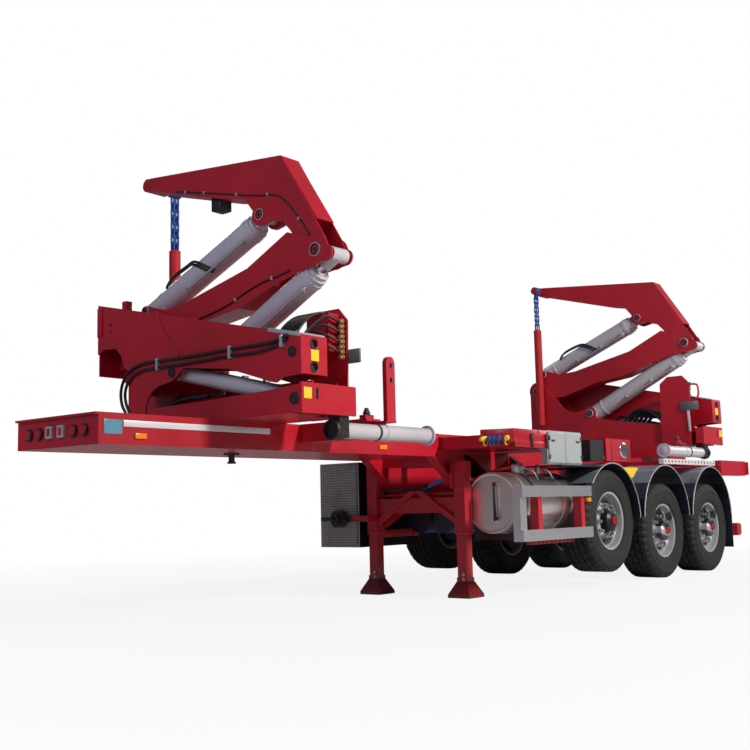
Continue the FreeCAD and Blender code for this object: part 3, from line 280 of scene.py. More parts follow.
def marked(name, slot, colour, coat, least, scale, detail, *marks, spread=0.2):
    """Enamel with marks, each a mask made by a function of the finish, and its colour."""
    finish = Finish(name, slot, colour, coat=coat)
    for mask, mark_colour in marks:
        finish.tint(mask(finish), mark_colour)
    finish.sheen(least, spread, scale, detail)
    return finish


def rim_finish():
    """Silver rim: dark hub, painted shadow on the dish between the nuts and the bead, bright outer ring."""
    finish = Finish("wheel_silver", "rim_silver", (0.42, 0.43, 0.47), metallic=0.5)
    place = (finish.axis("X") + (AXLE_PITCH / 2 - FIRST_AXLE_X)).cycle(AXLE_PITCH)
    reach = finish.off_line(place * AXLE_PITCH, finish.axis("Z"), AXLE_PITCH / 2, AXLE_Z).maths("SQRT")
    finish.mottle(0.4, (0.24, 0.25, 0.28), 10, 5, 0.4, 0.7)
    # painted shadow: the dish between the nuts and the bead is tinted dark
    finish.tint(reach.under(0.25, 0.262) * reach.over(0.196, 0.206) * 0.85, (0.035, 0.036, 0.04))
    finish.tint(reach.under(0.132, 0.136), (0.018, 0.018, 0.02))
    finish.sheen(0.3, 0.2, 10, 5)
    return finish


def chain_finish():
    """Blue links above the padded sleeve, and the sleeve's red webbing with its seams."""
    finish = Finish("chain_and_sleeve", "chain_blue", (0.018, 0.075, 0.33), metallic=0.2)
    finish.mottle(0.5, (0.01, 0.03, 0.15), 30, 3, 0.5, 0.7)
    z = finish.axis("Z")
    sleeve = z.under(3.2445, 3.2455)
    finish.tint(sleeve, (0.42, 0.008, 0.014))
    finish.tint(sleeve * finish.clouds(26, 4, (1, 1, 0.25)).over(0.45, 0.7) * 0.5, (0.2, 0.004, 0.008))
    finish.put("Roughness", 0.35 + sleeve * 0.35)
    finish.relief(sleeve * ((z * 900).wave() + 1) * 0.5, 0.0006, 0.4)
    return finish


def rod_finish(name, y, z):
    """Hard chrome with fine lines round it, and a painted eye about one place."""
    finish = Finish(name, "chrome", CHROME_TONE)
    eye = finish.off_line(finish.axis("Y"), finish.axis("Z"), y, z).under(0.0196, 0.0199)
    lines = finish.clouds(220, 3, (1, 0.02, 1))
    finish.tint(eye, PALE_TONE)
    finish.put("Metallic", 1 - eye)
    finish.put("Roughness", 0.08 + lines * 0.1 + eye * 0.2)
    finish.relief(lines, 0.0004, 0.15)
    return finish


RED_TONE, RED_DARK = (0.44, 0.007, 0.022), (0.24, 0.003, 0.011)
PALE_TONE, PALE_DARK = (0.5, 0.49, 0.54), (0.38, 0.37, 0.43)
CHROME_TONE, STEEL_TONE = (0.78, 0.79, 0.83), (0.7, 0.71, 0.74)

RED = gloss_paint("red_enamel", "red_paint", RED_TONE, RED_DARK, 0.2)
GREY = gloss_paint("grey_enamel", "grey_paint", (0.33, 0.37, 0.39), (0.24, 0.27, 0.29), 0.2)
PALE = gloss_paint("cylinder_enamel", "lavender_paint", PALE_TONE, PALE_DARK, 0.3)
WHITE = gloss_paint("white_enamel", "white_paint", (0.66, 0.66, 0.69), (0.52, 0.52, 0.55), 0.2)
DULL = gloss_paint("pale_steel", "rim_silver", (0.36, 0.37, 0.4), (0.22, 0.23, 0.26), 0.0)
SLATE = gloss_paint("slate_enamel", "grey_paint", (0.09, 0.12, 0.12), (0.05, 0.07, 0.07), 0.1)
BLUE = gloss_paint("blue_enamel", "chain_blue", (0.02, 0.085, 0.36), (0.01, 0.04, 0.2), 0.3)
SIGNBLUE = gloss_paint("blue_sign", "chain_blue", (0.1, 0.3, 0.42), (0.07, 0.22, 0.33), 0.1)
YELLOW = gloss_paint("yellow_sign", "white_paint", (0.86, 0.6, 0.03), (0.7, 0.46, 0.02), 0.1)
ORANGE = gloss_paint("red_hose", "red_paint", (0.62, 0.045, 0.03), (0.45, 0.02, 0.015), 0.1)
IRON = cast_metal("dark_iron", "dark_steel", (0.03, 0.031, 0.035), 0.55)
BRASS = cast_metal("brass", "chrome", (0.4, 0.27, 0.1), 0.35)
BLACK = moulded("black_rubber", "tyre", (0.007, 0.007, 0.009), 0.45)
LENS = moulded("red_lens", "lamp_red", (0.42, 0.01, 0.01), 0.15)
AMBER = moulded("amber_lens", "lamp_red", (0.8, 0.22, 0.01), 0.2)
CHROME = plated("hard_chrome", "chrome", CHROME_TONE, 0.08, "Y")
BRIGHT = plated("bright_nuts", "rim_silver", STEEL_TONE, 0.22, "Y")
STAINLESS = plated("polished_stainless", "polished_steel", (0.74, 0.71, 0.69), 0.26, "X")
ALLOY = plated("drawn_alloy", "alloy", STEEL_TONE, 0.3, "X")
CHECKER, TYRE, SILVER = tread_plate(), tyre_rubber(), rim_finish()
CHAIN = chain_finish()

BROAD = (lambda f: f.patches(0.9, 3, 0.42, 0.72) * 0.55, RED_DARK)
# black moulding with a painted sky reflection, in blue-grey patches, on its upper faces
FENDER = marked("fender_moulding", "dark_plastic", (0.01, 0.013, 0.026), 0.3, 0.26, 12, 5, (
    lambda f: f.facing("Z").over(0.45, 0.98) * f.patches(4, 4, 0.15, 0.6), (0.2, 0.235, 0.3)))
FENDER.relief(FENDER.clouds(300, 2), 0.0005, 0.3)
# near-black blue enamel, with painted light: bright blue on the faces that look down
NAVY = marked("navy_enamel", "blue_black_paint", (0.01, 0.014, 0.03), 0.3, 0.25, 9, 6, (
    lambda f: f.facing("Z").under(-0.9, -0.55) * 0.8, (0.03, 0.1, 0.4)))
# pale cylinder hung from a red bracket, with a dark joint at each crane's centre plane
LEG = marked("leg_enamel", "lavender_paint", PALE_TONE, 0.3, 0.28, 12, 5,
             (lambda f: f.patches(1.5, 3, 0.4, 0.7) * 0.5, PALE_DARK),
             (lambda f: f.off("X", 3.24).under(0.055, 0.0556) + f.off("X", -3.62).under(0.055, 0.0556),
              (0.014, 0.012, 0.014)), spread=0.18)

SLOT_FINISH = {finish.slot: finish for finish in (
    RED, IRON, FENDER, STAINLESS, ALLOY, GREY, CHECKER, NAVY, LENS, WHITE, TYRE, SILVER, CHAIN, PALE, CHROME)}

NODE_FINISH = {
    # bare dark cones on red housings
    "container_locks": marked("lock_enamel", "red_paint", RED_TONE, 0.4, 0.3, 9, 6, BROAD, (
        lambda f: f.off("X", -0.0815).over(2.779, 2.781) * f.axis("Z").over(1.6025, 1.6035),
        (0.035, 0.034, 0.036))),
    # a black box behind the canister's parting line
    "canister": marked("canister_enamel", "red_paint", RED_TONE, 0.4, 0.28, 12, 5, BROAD, (
        lambda f: f.axis("X").over(-0.921, -0.919), (0.014, 0.014, 0.017))),
    # feet darker red towards the floor, and bare iron for the crank and its gearbox beyond the right leg
    "landing_legs": marked(
        "landing_enamel", "red_paint", RED_TONE, 0.2, 0.28, 9, 6, BROAD,
        (lambda f: f.axis("Z").under(0.14, 0.2) * 0.75, (0.05, 0.004, 0.006)),
        (lambda f: f.axis("Y").under(-0.742, -0.738), (0.016, 0.016, 0.019))),
    # painted shade: straps tinted dark red inboard of the tank's outer edge, under the tank
    "tank_brackets": marked("bracket_enamel", "red_paint", RED_TONE, 0.2, 0.35, 9, 6, (
        lambda f: f.axis("Y").under(1.135, 1.16), (0.02, 0.003, 0.004))),
    "front_stabiliser_leg": LEG, "rear_stabiliser_leg": LEG,
}
for word, pin in (("lift", LIFT_EYE), ("reach", REACH_EYE), ("ram", RAM_EYE)):
    rod = rod_finish(f"{word}_rod_chrome", *pin)
    NODE_FINISH.update({f"front_{word}_rod": rod, f"rear_{word}_rod": rod})

for part in frame["record"]["subparts"]:
    materials = frame["nodes"][part["node"]].data.materials
    materials.clear()
    materials.append(NODE_FINISH.get(part["node"], SLOT_FINISH[part["material_slot"]]).material)


# ---------------------------------------------------------------- modelling

def select_only(*pieces):
    bpy.ops.object.select_all(action="DESELECT")
    for piece in pieces:
        piece.select_set(True)
    bpy.context.view_layer.objects.active = pieces[0]


def settle(*pieces):
    """Takes each piece's place, turn and size into its mesh, and leaves all of them selected."""
    for piece in pieces:
        select_only(piece)
        bpy.ops.object.transform_apply(location=True, rotation=True, scale=True)
    select_only(*pieces)


def smoothed(piece, degrees):
    select_only(piece)
    bpy.ops.object.shade_smooth_by_angle(angle=math.radians(degrees))
    return piece


@contextmanager
def edit_mode():
    bpy.ops.object.mode_set(mode="EDIT")
    bpy.ops.mesh.select_all(action="SELECT")
    yield
    bpy.ops.object.mode_set(mode="OBJECT")


def pick(piece, kind, test):
    """In edit mode, selects the faces or edges whose middle, and normal or direction, pass the test."""
    bpy.ops.mesh.select_all(action="DESELECT")
    bpy.ops.mesh.select_mode(type=kind)
    mesh = bmesh.from_edit_mesh(piece.data)
    if kind == "FACE":
        for face in mesh.faces:
            face.select_set(bool(test(face.calc_center_median(), face.normal)))
    else:
        for edge in mesh.edges:
            a, b = (v.co for v in edge.verts)
            edge.select_set(bool(test((a + b) / 2, (b - a).normalized())))
    bmesh.update_edit_mesh(piece.data)


def grow(vector):
    """Extrudes what is selected along a vector."""
    bpy.ops.mesh.extrude_region_move(TRANSFORM_OT_translate={"value": vector})


def close_up(merge=0.0):
    """Merges points within a distance, and turns every face outwards."""
    bpy.ops.mesh.select_all(action="SELECT")
    if merge:
        bpy.ops.mesh.remove_doubles(threshold=merge)
    bpy.ops.mesh.normals_make_consistent(inside=False)


def spot(place, axis=Z_AXIS):
    """The move that takes the origin to a place and +Z to a direction."""
    return Matrix.Translation(Vector(place)) @ Vector(axis).to_track_quat("Z", "Y").to_matrix().to_4x4()


def put(piece, place, axis=Z_AXIS):
    piece.matrix_world = spot(place, axis)
    settle(piece)
    return piece


def twin(piece, place):
    """A like piece at another place, with its own mesh."""
    made = piece.copy()
    made.data = piece.data.copy()
    bpy.context.collection.objects.link(made)
    made.matrix_world = place
    return made


def joined(*pieces):
    settle(*pieces)
    if len(pieces) > 1:
        bpy.ops.object.join()
    return pieces[0]


def dress(pieces, name, finish, body="chassis", slot=None):
    """Joins finished pieces into one, names it, gives it its finish, and hangs it on its body."""
    piece = joined(*pieces) if isinstance(pieces, list) else joined(pieces)
    piece.name = piece.data.name = name
    piece.data.materials.clear()
    piece.data.materials.append(finish.material)
    slot or finish.slot
    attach(piece, body)
    return piece


def cylinder(sides, radius, height):
    bpy.ops.mesh.primitive_cylinder_add(vertices=sides, radius=radius, depth=height,
                                        location=(0, 0, height / 2))
    return bpy.context.object


def raised_cap(radius, height, rim=0.18, sink=0.35, sides=32):
    """A round cap that stands on z = 0: bevelled edge and a sunk middle."""
    piece = cylinder(sides, radius, height)
    settle(piece)
    with edit_mode():
        pick(piece, "FACE", lambda middle, normal: normal.z > 0.9)
        bpy.ops.mesh.inset(thickness=radius * rim, depth=0)
        grow((0, 0, -height * sink))
        pick(piece, "EDGE",
             lambda middle, way: abs(middle.z - height) < 1e-5 and middle.xy.length > radius * 0.9)
        bpy.ops.mesh.bevel(offset=height * 0.18, segments=2)
    return smoothed(piece, 35)


def bolt(width, height):
    """A hexagon head on its washer, standing on z = 0."""
    piece = cylinder(18, width * 0.68, height * 0.25)
    settle(piece)
    with edit_mode():
        cylinder(6, width * 0.5, height)
        pick(piece, "FACE", lambda middle, normal: normal.z > 0.9 and middle.z > height * 0.9)
        bpy.ops.mesh.inset(thickness=width * 0.08, depth=height * 0.08)
    return piece


def rounded_box(low, high, bevel, sunk=None, rim=0.012, depth=0.003):
    """A box with bevelled edges and, on the side that faces along sunk, a panel inside a rim."""
    low, high = Vector(low), Vector(high)
    bpy.ops.mesh.primitive_cube_add(size=1, location=(low + high) / 2)
    piece = bpy.context.object
    piece.scale = high - low
    settle(piece)
    with edit_mode():
        bpy.ops.mesh.bevel(offset=bevel, segments=2)
        if sunk is not None:
            side = Vector(sunk)
            reach = max(low.dot(side), high.dot(side))
            pick(piece, "FACE",
                 lambda middle, normal: normal.dot(side) > 0.99 and abs(middle.dot(side) - reach) < 1e-4)
            bpy.ops.mesh.inset(thickness=rim, depth=0)
            bpy.ops.mesh.inset(thickness=depth * 0.5, depth=-depth)
    return smoothed(piece, 40)


def trace(points):
    """A line of vertices through the points."""
    points = [Vector(p) for p in points]
    bpy.ops.object.select_all(action="DESELECT")
    bpy.ops.mesh.primitive_plane_add(size=0.01, location=(0, 0, 0))
    piece = bpy.context.object
    with edit_mode():
        bpy.ops.mesh.select_mode(type="VERT")
        bpy.ops.mesh.merge(type="CENTER")
        bpy.ops.mesh.select_all(action="SELECT")
        bpy.ops.transform.translate(value=points[0])
        for start, end in zip(points, points[1:]):
            bpy.ops.mesh.extrude_vertices_move(TRANSFORM_OT_translate={"value": end - start})
    return piece


def cut_plate(outline, thickness, bevel=0.0):
    """A flat plate of any outline, given its thickness as a vector."""
    piece = trace(outline)
    with edit_mode():
        bpy.ops.mesh.edge_face_add()
        bpy.ops.mesh.select_all(action="SELECT")
        grow(Vector(thickness))
        close_up()
    if bevel:
        select_only(piece)
        modifier = piece.modifiers.new("Bevel", "BEVEL")
        modifier.width, modifier.segments, modifier.limit_method = bevel, 2, "ANGLE"
        bpy.ops.object.modifier_apply(modifier=modifier.name)
    return smoothed(piece, 40)


def spun(profile, steps, axis=Z_AXIS):
    """A closed ring: a profile of radii and heights, turned about Z or Y."""
    piece = trace([(r, 0, h) if axis == Z_AXIS else (r, h, 0) for r, h in profile])
    with edit_mode():
        bpy.ops.mesh.spin(steps=steps, angle=math.tau, center=(0, 0, 0), axis=axis)
        close_up(0.0002)
    return smoothed(piece, 35)


def hose(points, radius, smooth=True, sides=3):
    """A pipe or hose through the points, as a mesh with closed ends."""
    data = bpy.data.curves.new("run", "CURVE")
    data.dimensions = "3D"
    data.bevel_depth, data.bevel_resolution = radius, sides
    data.resolution_u = 5
    data.use_fill_caps = True
    line = data.splines.new("NURBS" if smooth else "POLY")
    line.points.add(len(points) - 1)
    for point, place in zip(line.points, points):
        point.co = (*place, 1)
    if smooth:
        line.order_u = 3
        line.use_endpoint_u = True
    piece = bpy.data.objects.new("run", data)
    bpy.context.collection.objects.link(piece)
    select_only(piece)
    bpy.ops.object.convert(target="MESH")
    piece = bpy.context.object
    with edit_mode():
        close_up(0.0001)
    return smoothed(piece, 60)


def boxes(name, corners, finish, bevel=0.003, **panel):
    dress([rounded_box(low, high, bevel, **panel) for low, high in corners], name, finish)


def mirrored(corners):
    """Boxes given by their corners, and their likes on the trailer's other side."""
    return corners + [((a, -e, c), (d, -b, f)) for (a, b, c), (d, e, f) in corners]


# ---------------------------------------------------------------- wheels

def tyre_section():
    """Section from bead to bead: sidewall rings, shoulders and four grooves."""
    half, top, rim = TYRE_HALF, TYRE_RADIUS, RIM_RADIUS
    wall = [(rim, 0.045 - half), (rim + 0.012, 0.026 - half), (rim + 0.03, 0.021 - half),
            (rim + 0.034, 0.014 - half), (rim + 0.095, 0.004 - half), (rim + 0.1, 0.008 - half),
            (top - 0.11, 0.004 - half), (top - 0.085, 0.005 - half), (top - 0.08, -half),
            (top - 0.048, 0.006 - half), (top - 0.018, 0.022 - half)]
    crown = [(top - 0.004, 0.036 - half)]
    for groove in (-0.098, -0.033, 0.033, 0.098):
        crown += [(top - down, groove + across) for down, across in (
            (0.002, -0.008), (0.015, -0.005), (0.015, 0.005), (0.002, 0.008))]
    crown.append((top - 0.004, half - 0.036))
    return wall + crown + [(r, -y) for r, y in reversed(wall)]


def make_tyre():
    """A tyre about the Y axis at the origin, with its shoulder and centre blocks cut."""
    steps = 120
    piece = spun(tyre_section(), steps, Y_AXIS)

    def block(middle, normal):
        reach = math.hypot(middle.x, middle.z)
        turn = round(math.atan2(middle.z, middle.x) / math.tau * steps - 0.5)
        shoulder = reach > TYRE_RADIUS - 0.035 and abs(middle.y) > 0.108
        centre = reach > TYRE_RADIUS - 0.006 and abs(middle.y) < 0.09
        return (shoulder and turn % 3 == 0) or (centre and turn % 4 == (0 if middle.y > 0 else 2))

    with edit_mode():
        pick(piece, "FACE", block)
        bpy.ops.mesh.inset(thickness=0.006, depth=-0.009)
    return piece


def make_nuts():
    """Ten nuts on their ring about +Y."""
    nut = bolt(0.034, 0.04)
    angles = [math.tau * turn / 10 for turn in range(10)]
    nuts = [twin(nut, spot((0.1675 * math.cos(a), 0, 0.1675 * math.sin(a)), Y_AXIS)) for a in angles]
    bpy.data.objects.remove(nut)
    return joined(*nuts)


def make_hand_holes():
    """Ten black discs, painted shade in the hand holes, square to the slope of the rim's dish."""
    hole, holes = raised_cap(0.036, 0.006, rim=0.1, sink=0.5, sides=20), []
    lean = math.atan2(0.03, 0.065)
    for turn in range(10):
        angle = math.tau * (turn + 0.5) / 10
        out = Vector((math.cos(angle), 0, math.sin(angle)))
        slope = Vector(Y_AXIS) * math.cos(lean) - out * math.sin(lean)
        holes.append(twin(hole, spot(out * 0.1915 + Vector((0, 0.0985, 0)), slope)))
    bpy.data.objects.remove(hole)
    return joined(*holes)


def wheels():
    """Detailed tyres over the plain ones, with nuts, ring, hub cap and hand holes on each wheel."""
    parts = [("tread", make_tyre(), TYRE, 0), ("nuts", make_nuts(), BRIGHT, 0.118),
             ("rim_ring", spun([(0.215, -0.002), (0.222, 0.01), (0.232, 0.01), (0.24, -0.002)], 48, Y_AXIS),
              SILVER, 0.092),
             ("hub_cap", put(raised_cap(0.04, 0.026, rim=0.25, sink=0.4), (0, 0, 0), Y_AXIS),
              RED, TYRE_HALF + 0.01),
             # black discs painted as the shade in the hand holes
             ("hand_holes", make_hand_holes(), BLACK, 0)]
    places = {joint["name"]: joint.get("pos_m") for joint in frame["joints"]}
    for number in (1, 2, 3):
        for word, half_turn in (("left", 0), ("right", math.pi)):
            wheel = f"{word}_{number}"
            centre = Matrix.Translation(Vector(places[f"wheel_{wheel}_turn"]))
            for name, source, finish, out in parts:
                place = centre @ Matrix.Rotation(half_turn, 4, "Z") @ Matrix.Translation((0, out, 0))
                piece = dress(twin(source, place), f"{name}_{wheel}", finish, f"wheel_{wheel}")
                if name == "tread":
                    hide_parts(f"tyre_{wheel}")
    for _, source, _, _ in parts:
        bpy.data.objects.remove(source)


# ---------------------------------------------------------------- cranes

class CraneFrame:
    """One crane's terms: u outward from its boom's centre plane, and the row frame's y and z."""

    def __init__(self, name, centre, outward):
        self.name, self.centre, self.outward = name, centre, outward

    def at(self, u, y, z):
        return Vector((self.centre + self.outward * u, y, z))

    def out(self, side=1):
        return Vector((self.outward * side, 0, 0))

    def put(self, piece, u, y, z, side=1):
        """Stands a piece on a face that looks outward, or inward for a side of -1."""
        return put(piece, self.at(u, y, z), self.out(side))

    def box(self, u0, u1, y0, y1, z0, z1, bevel=0.003, **panel):
        a, b = self.at(u0, y0, z0), self.at(u1, y1, z1)
        return rounded_box([min(p) for p in zip(a, b)], [max(p) for p in zip(a, b)], bevel, **panel)

    def plate(self, u, outline, thickness, bevel=0.0):
        """A plate that starts at u, with its outline in y and z."""
        return cut_plate([self.at(u, y, z) for y, z in outline], self.out() * thickness, bevel)

    def hose(self, points, radius, **form):
        return hose([self.at(*point) for point in points], radius, **form)

    def along(self, foot, eye):
        """A cylinder's own terms: s from its foot pin, rise off its axis, and u."""
        foot, eye = Vector(foot), Vector(eye)
        way = (eye - foot).normalized()
        lift = Vector((-way.y, way.x))
        return way, lift, lambda s, rise=0.0, u=0.0: self.at(u, *(foot + way * s + lift * rise))

    def dress(self, pieces, name, finish, body="crane", slot=None):
        dress(pieces, f"{self.name}_{name}", finish, f"{self.name}_{body}", slot)


def pin_caps(crane, word, body, pins):
    """Retained pin ends on both outer faces: a thin pale ring round a dark bolted middle."""
    rings, middles = [], []
    for u, pin, radius in pins:
        for side in SIDES:
            face = (side * u, *pin, side)
            rings.append(crane.put(raised_cap(radius, 0.012, rim=0.14, sink=0.5), *face))
            middles.append(crane.put(raised_cap(radius * 0.84, 0.014, rim=0.3, sink=0.6), *face))
            middles.append(crane.put(bolt(radius * 0.5, 0.018), *face))
    crane.dress(rings, f"{word}_rings", DULL, body)
    crane.dress(middles, f"{word}_heads", BLACK, body, "dark_steel")


def cylinder_trim(crane, word, foot, eye, barrel, end):
    """Collars of a cylinder's barrel, and the thin pipe clamped beside and below it."""
    way, lift, on = crane.along(foot, eye)
    body, radius = f"{word}_barrel_body", BARREL_RADIUS
    rings = []
    for s, rise, length in ((0.16, 0.004, 0.03), (barrel - 0.085, 0.005, 0.045)):
        ring = spun([(radius - 0.002, 0), (radius + rise, 0.003), (radius + rise, length - 0.003),
                     (radius - 0.002, length)], 40)
        rings.append(put(ring, on(s), (0, *way)))
    crane.dress(rings, f"{word}_collars", PALE, body)
    start, lean = end * 0.42, math.sqrt(0.5)

    def beside(s, rise):
        reach = (radius + rise) * lean
        return on(s, -reach, crane.outward * reach)

    pieces = [hose([beside(s, rise) for s, rise in (
        (start, -0.01), (start + 0.005, 0.02), (start + 0.05, 0.028), (end * 0.7, 0.028),
        (end - 0.05, 0.028), (end, 0.02), (end + 0.005, -0.01))], 0.0115)]
    for s in (start, end * 0.72, end - 0.03):
        clamp = rounded_box((-0.02, -0.018, 0), (0.02, 0.018, 0.036), 0.005)
        pieces.append(put(clamp, beside(s, -0.006), (lean, *(-lift * lean))))
    crane.dress(pieces, f"{word}_pipe", DULL, body)


def side_lines(crane, name, body, runs, u, radius, clamps):
    """Hoses clamped along a side face, through points given as y and z."""
    crane.dress([crane.hose([(u, y, z) for y, z in run], radius) for run in runs], name, BLACK, body)
    grips = [crane.box(u - 0.03, u + radius + 0.006, y - dy / 2, y + dy / 2, z - dz / 2, z + dz / 2, 0.004)
             for y, z, dy, dz in clamps]
    crane.dress(grips, f"{name}_clamps", DULL, body)


def plates_on(crane):
    """Blank signs, slot, seam strap, end plates and caps of the stabiliser frame and outrigger."""
    arm = "outrigger_body"
    for name, body, u0, u1, z0, z1 in (("frame_sign", "crane", 0.302, 0.386, 1.942, 2.026),
                                       ("arm_sign", arm, 0.386, 0.468, 1.664, 1.746)):
        sign = crane.box(u0, u1, END_FACE, END_FACE + 0.005, z0, z1, 0.0015,
                         sunk=Y_AXIS, rim=0.006, depth=0.001)
        crane.dress(sign, name, YELLOW, body)
    # a black box painted as the shade inside the outrigger's slot
    slot = crane.box(0.312, 0.34, END_FACE - 0.0005, END_FACE + 0.0035, 1.664, 1.752, 0.0018,
                     sunk=Y_AXIS, rim=0.004, depth=0.002)
    crane.dress(slot, "arm_slot", BLACK, arm)
    liners = []
    for z in (2.068, 1.898):
        ring = spun([(0.034, 0), (0.0335, 0.004), (0.043, 0.006), (0.045, 0)], 32)
        # the black plug sunk in each liner is painted shade inside the hole
        plug = raised_cap(0.033, 0.004, rim=0.12, sink=0.5, sides=28)
        liners += [put(ring, crane.at(0.35, 1.262, z), Y_AXIS), put(plug, crane.at(0.35, 1.238, z), Y_AXIS)]
    crane.dress(liners, "hole_liners", BLACK)
    strap = crane.plate(FRAME_FACE, [
        (-0.372, 2.508), (-0.352, 2.503), (-0.24, 2.323), (-0.076, 2.13), (-0.074, 2.08),
        (-0.094, 2.08), (-0.096, 2.124), (-0.258, 2.33)], 0.01, 0.002)
    block = crane.box(FRAME_FACE, FRAME_FACE + 0.012, -1.148, -1.085, 2.385, 2.64, 0.004)
    crane.dress([strap, block], "straps", RED)
    shade = crane.plate(FRAME_FACE - 0.0005, [
        (-0.378, 2.506), (-0.371, 2.508), (-0.257, 2.329), (-0.095, 2.123), (-0.093, 2.08),
        (-0.1, 2.08), (-0.102, 2.121), (-0.264, 2.325)], 0.003)
    crane.dress(shade, "strap_shade", IRON)
    # black caps painted as the shade inside the frame's holes
    holes = [crane.put(raised_cap(0.013, 0.004, rim=0.2, sink=0.6, sides=18), FRAME_FACE - 0.001, -0.975, z)
             for z in (2.48, 2.42)]
    crane.dress(holes, "frame_holes", BLACK)
    for name, body, radius, places in (("frame_bosses", "crane", 0.04, ((1.174, 2.008), RAM_FOOT)),
                                       ("arm_boss", arm, 0.046, (RAM_EYE,))):
        caps = [crane.put(raised_cap(radius, 0.01, rim=0.16, sink=0.3, sides=28), FRAME_FACE, *place)
                for place in places]
        crane.dress(caps, name, BLACK, body)
    lid = crane.plate(0.225, [(0.93, 2.2015), (1.255, 2.129), (1.255, 2.142), (0.93, 2.215)], 0.262, 0.002)
    lip = crane.plate(FRAME_FACE, [(0.93, 2.215), (1.255, 2.142), (1.255, 2.112), (0.93, 2.185)],
                      0.006, 0.002)
    crane.dress([lid, lip], "frame_lid", DULL)
    crane.dress(crane.box(0.288, 0.352, -1.002, -0.938, 2.668, 2.704, 0.006), "stop_cap", RED)


def valve_tower(crane):
    """Brass unions down the tower's edge, their hoses into the frame, and the bracket beside it."""
    heights = [2.315 - 0.04 * step for step in range(8)]
    unions = [crane.put(bolt(0.034, 0.03), -0.151, 1.1, z) for z in heights]
    lines = []
    for step in (0, 2, 4, 6):
        z, spread = heights[step], 0.03 * step / 2
        lines.append(crane.hose([
            (-0.123, 1.1, z), (-0.075, 1.1, z + 0.004), (0, 1.075, z + 0.045),
            (0.09, 1.03 - spread, 2.285 - spread * 0.6), (0.165, 0.99 - spread, 2.2 - spread),
            (0.212, 0.985 - spread, 2.12 - spread)], 0.012))
    for y in (0.8, 0.84, 0.88, 0.92, 0.96, 1.0):
        lines.append(crane.hose([(-0.15, y, 2.3), (-0.12, y, 2.372), (-0.04, y - 0.02, 2.395),
                                 (0.07, y - 0.05, 2.345), (0.165, y - 0.07, 2.245), (0.212, y - 0.07, 2.165)],
                                0.011))
    crane.dress(unions, "unions", BRASS)
    crane.dress(lines, "tower_hoses", BLACK)
    crane.dress(crane.box(-0.2, -0.181, 1.02, 1.245, 1.985, 2.095, sunk=Y_AXIS, rim=0.004, depth=0.002),
                "tower_bracket", SLATE)
    crane.dress(crane.box(-0.15, -0.046, 0.85, 1.04, 2.09, 2.368, 0.01, sunk=crane.out(), rim=0.014,
                          depth=0.006), "valve_block", IRON)


def leg_joint(crane):
    """Dark knuckle, bolts, band and sole of the folded leg under the outrigger's end."""
    y, z = FOLDED_LEG
    heads = [crane.put(raised_cap(0.078, 0.032, rim=0.2, sink=0.5), 0.06, y, z)]
    for turn in range(6):
        angle = math.tau * turn / 6
        place = y + 0.068 * math.cos(angle), z + 0.068 * math.sin(angle)
        heads.append(crane.put(bolt(0.016, 0.01), 0.091, *place))
    ring = spun([(0.0615, -0.014), (0.066, -0.011), (0.066, 0.011), (0.0615, 0.014)], 40)
    sole = spun([(0, 0), (0.048, 0), (0.056, 0.004), (0.06, 0.01), (0.06, 0.014)], 36)
    arm = "outrigger_body"
    crane.dress(heads, "leg_knuckle", BLACK, arm)
    crane.dress(crane.put(ring, -0.44, y, z), "leg_band", IRON, arm)
    crane.dress(crane.put(sole, -1.1205, y, z), "leg_sole", PALE, arm)


def barrel_hoses(crane):
    """Two feed hoses looped over the reach barrel."""
    _, _, on = crane.along(REACH_FOOT, REACH_EYE)
    runs = []
    for shift in (0.0, 0.03):
        runs.append(hose([on(s + shift, rise + shift * 0.3, crane.outward * u) for s, rise, u in (
            (0.3, 0.06, 0.096), (0.33, 0.11, 0.082), (0.42, 0.128, 0.06), (0.54, 0.126, 0.045),
            (0.66, 0.09, 0.09), (0.74, 0.02, 0.122), (0.8, -0.06, 0.1), (0.84, -0.098, 0.052))], 0.012))
    crane.dress(runs, "reach_hoses", BLACK, "reach_barrel_body")


def rear_extras(crane):
    """Bent red guard tube, pale strut and dark hose bundle on the rear crane's tower."""
    tube = crane.hose([(-0.159, y, z) for y, z in (
        (1.01, 2.3), (1.08, 2.312), (1.19, 2.312), (1.236, 2.3), (1.246, 2.25), (1.246, 2.14),
        (1.15, 2.1), (1.06, 2.1))], 0.012)
    crane.dress(tube, "tower_tube", RED)
    strut = crane.plate(-0.196, [(1.09, 2.085), (1.125, 2.075), (1.135, 1.72), (1.108, 1.725)], 0.014, 0.003)
    crane.dress(strut, "tower_strut", PALE)
    bundle = []
    for step in range(6):
        y, side = 0.25 + 0.055 * step, 0.02 * step
        bundle.append(crane.hose([
            (0.03 * step - 0.02, y - 0.1, 1.9), (0.03 * step - 0.02, y - 0.03, 1.98),
            (side - 0.02, y + 0.1, 2.06 - 0.012 * step), (side - 0.03, y + 0.28, 2.03 - side),
            (side - 0.03, 0.72, 1.87 - 0.015 * step), (side - 0.03, 0.765, 1.8 - 0.015 * step)],
            0.021, sides=2))
    bundle.append(crane.box(-0.11, 0.11, 0.13, 0.79, 1.688, 1.83, 0.012))
    crane.dress(bundle, "hose_bundle", NAVY)


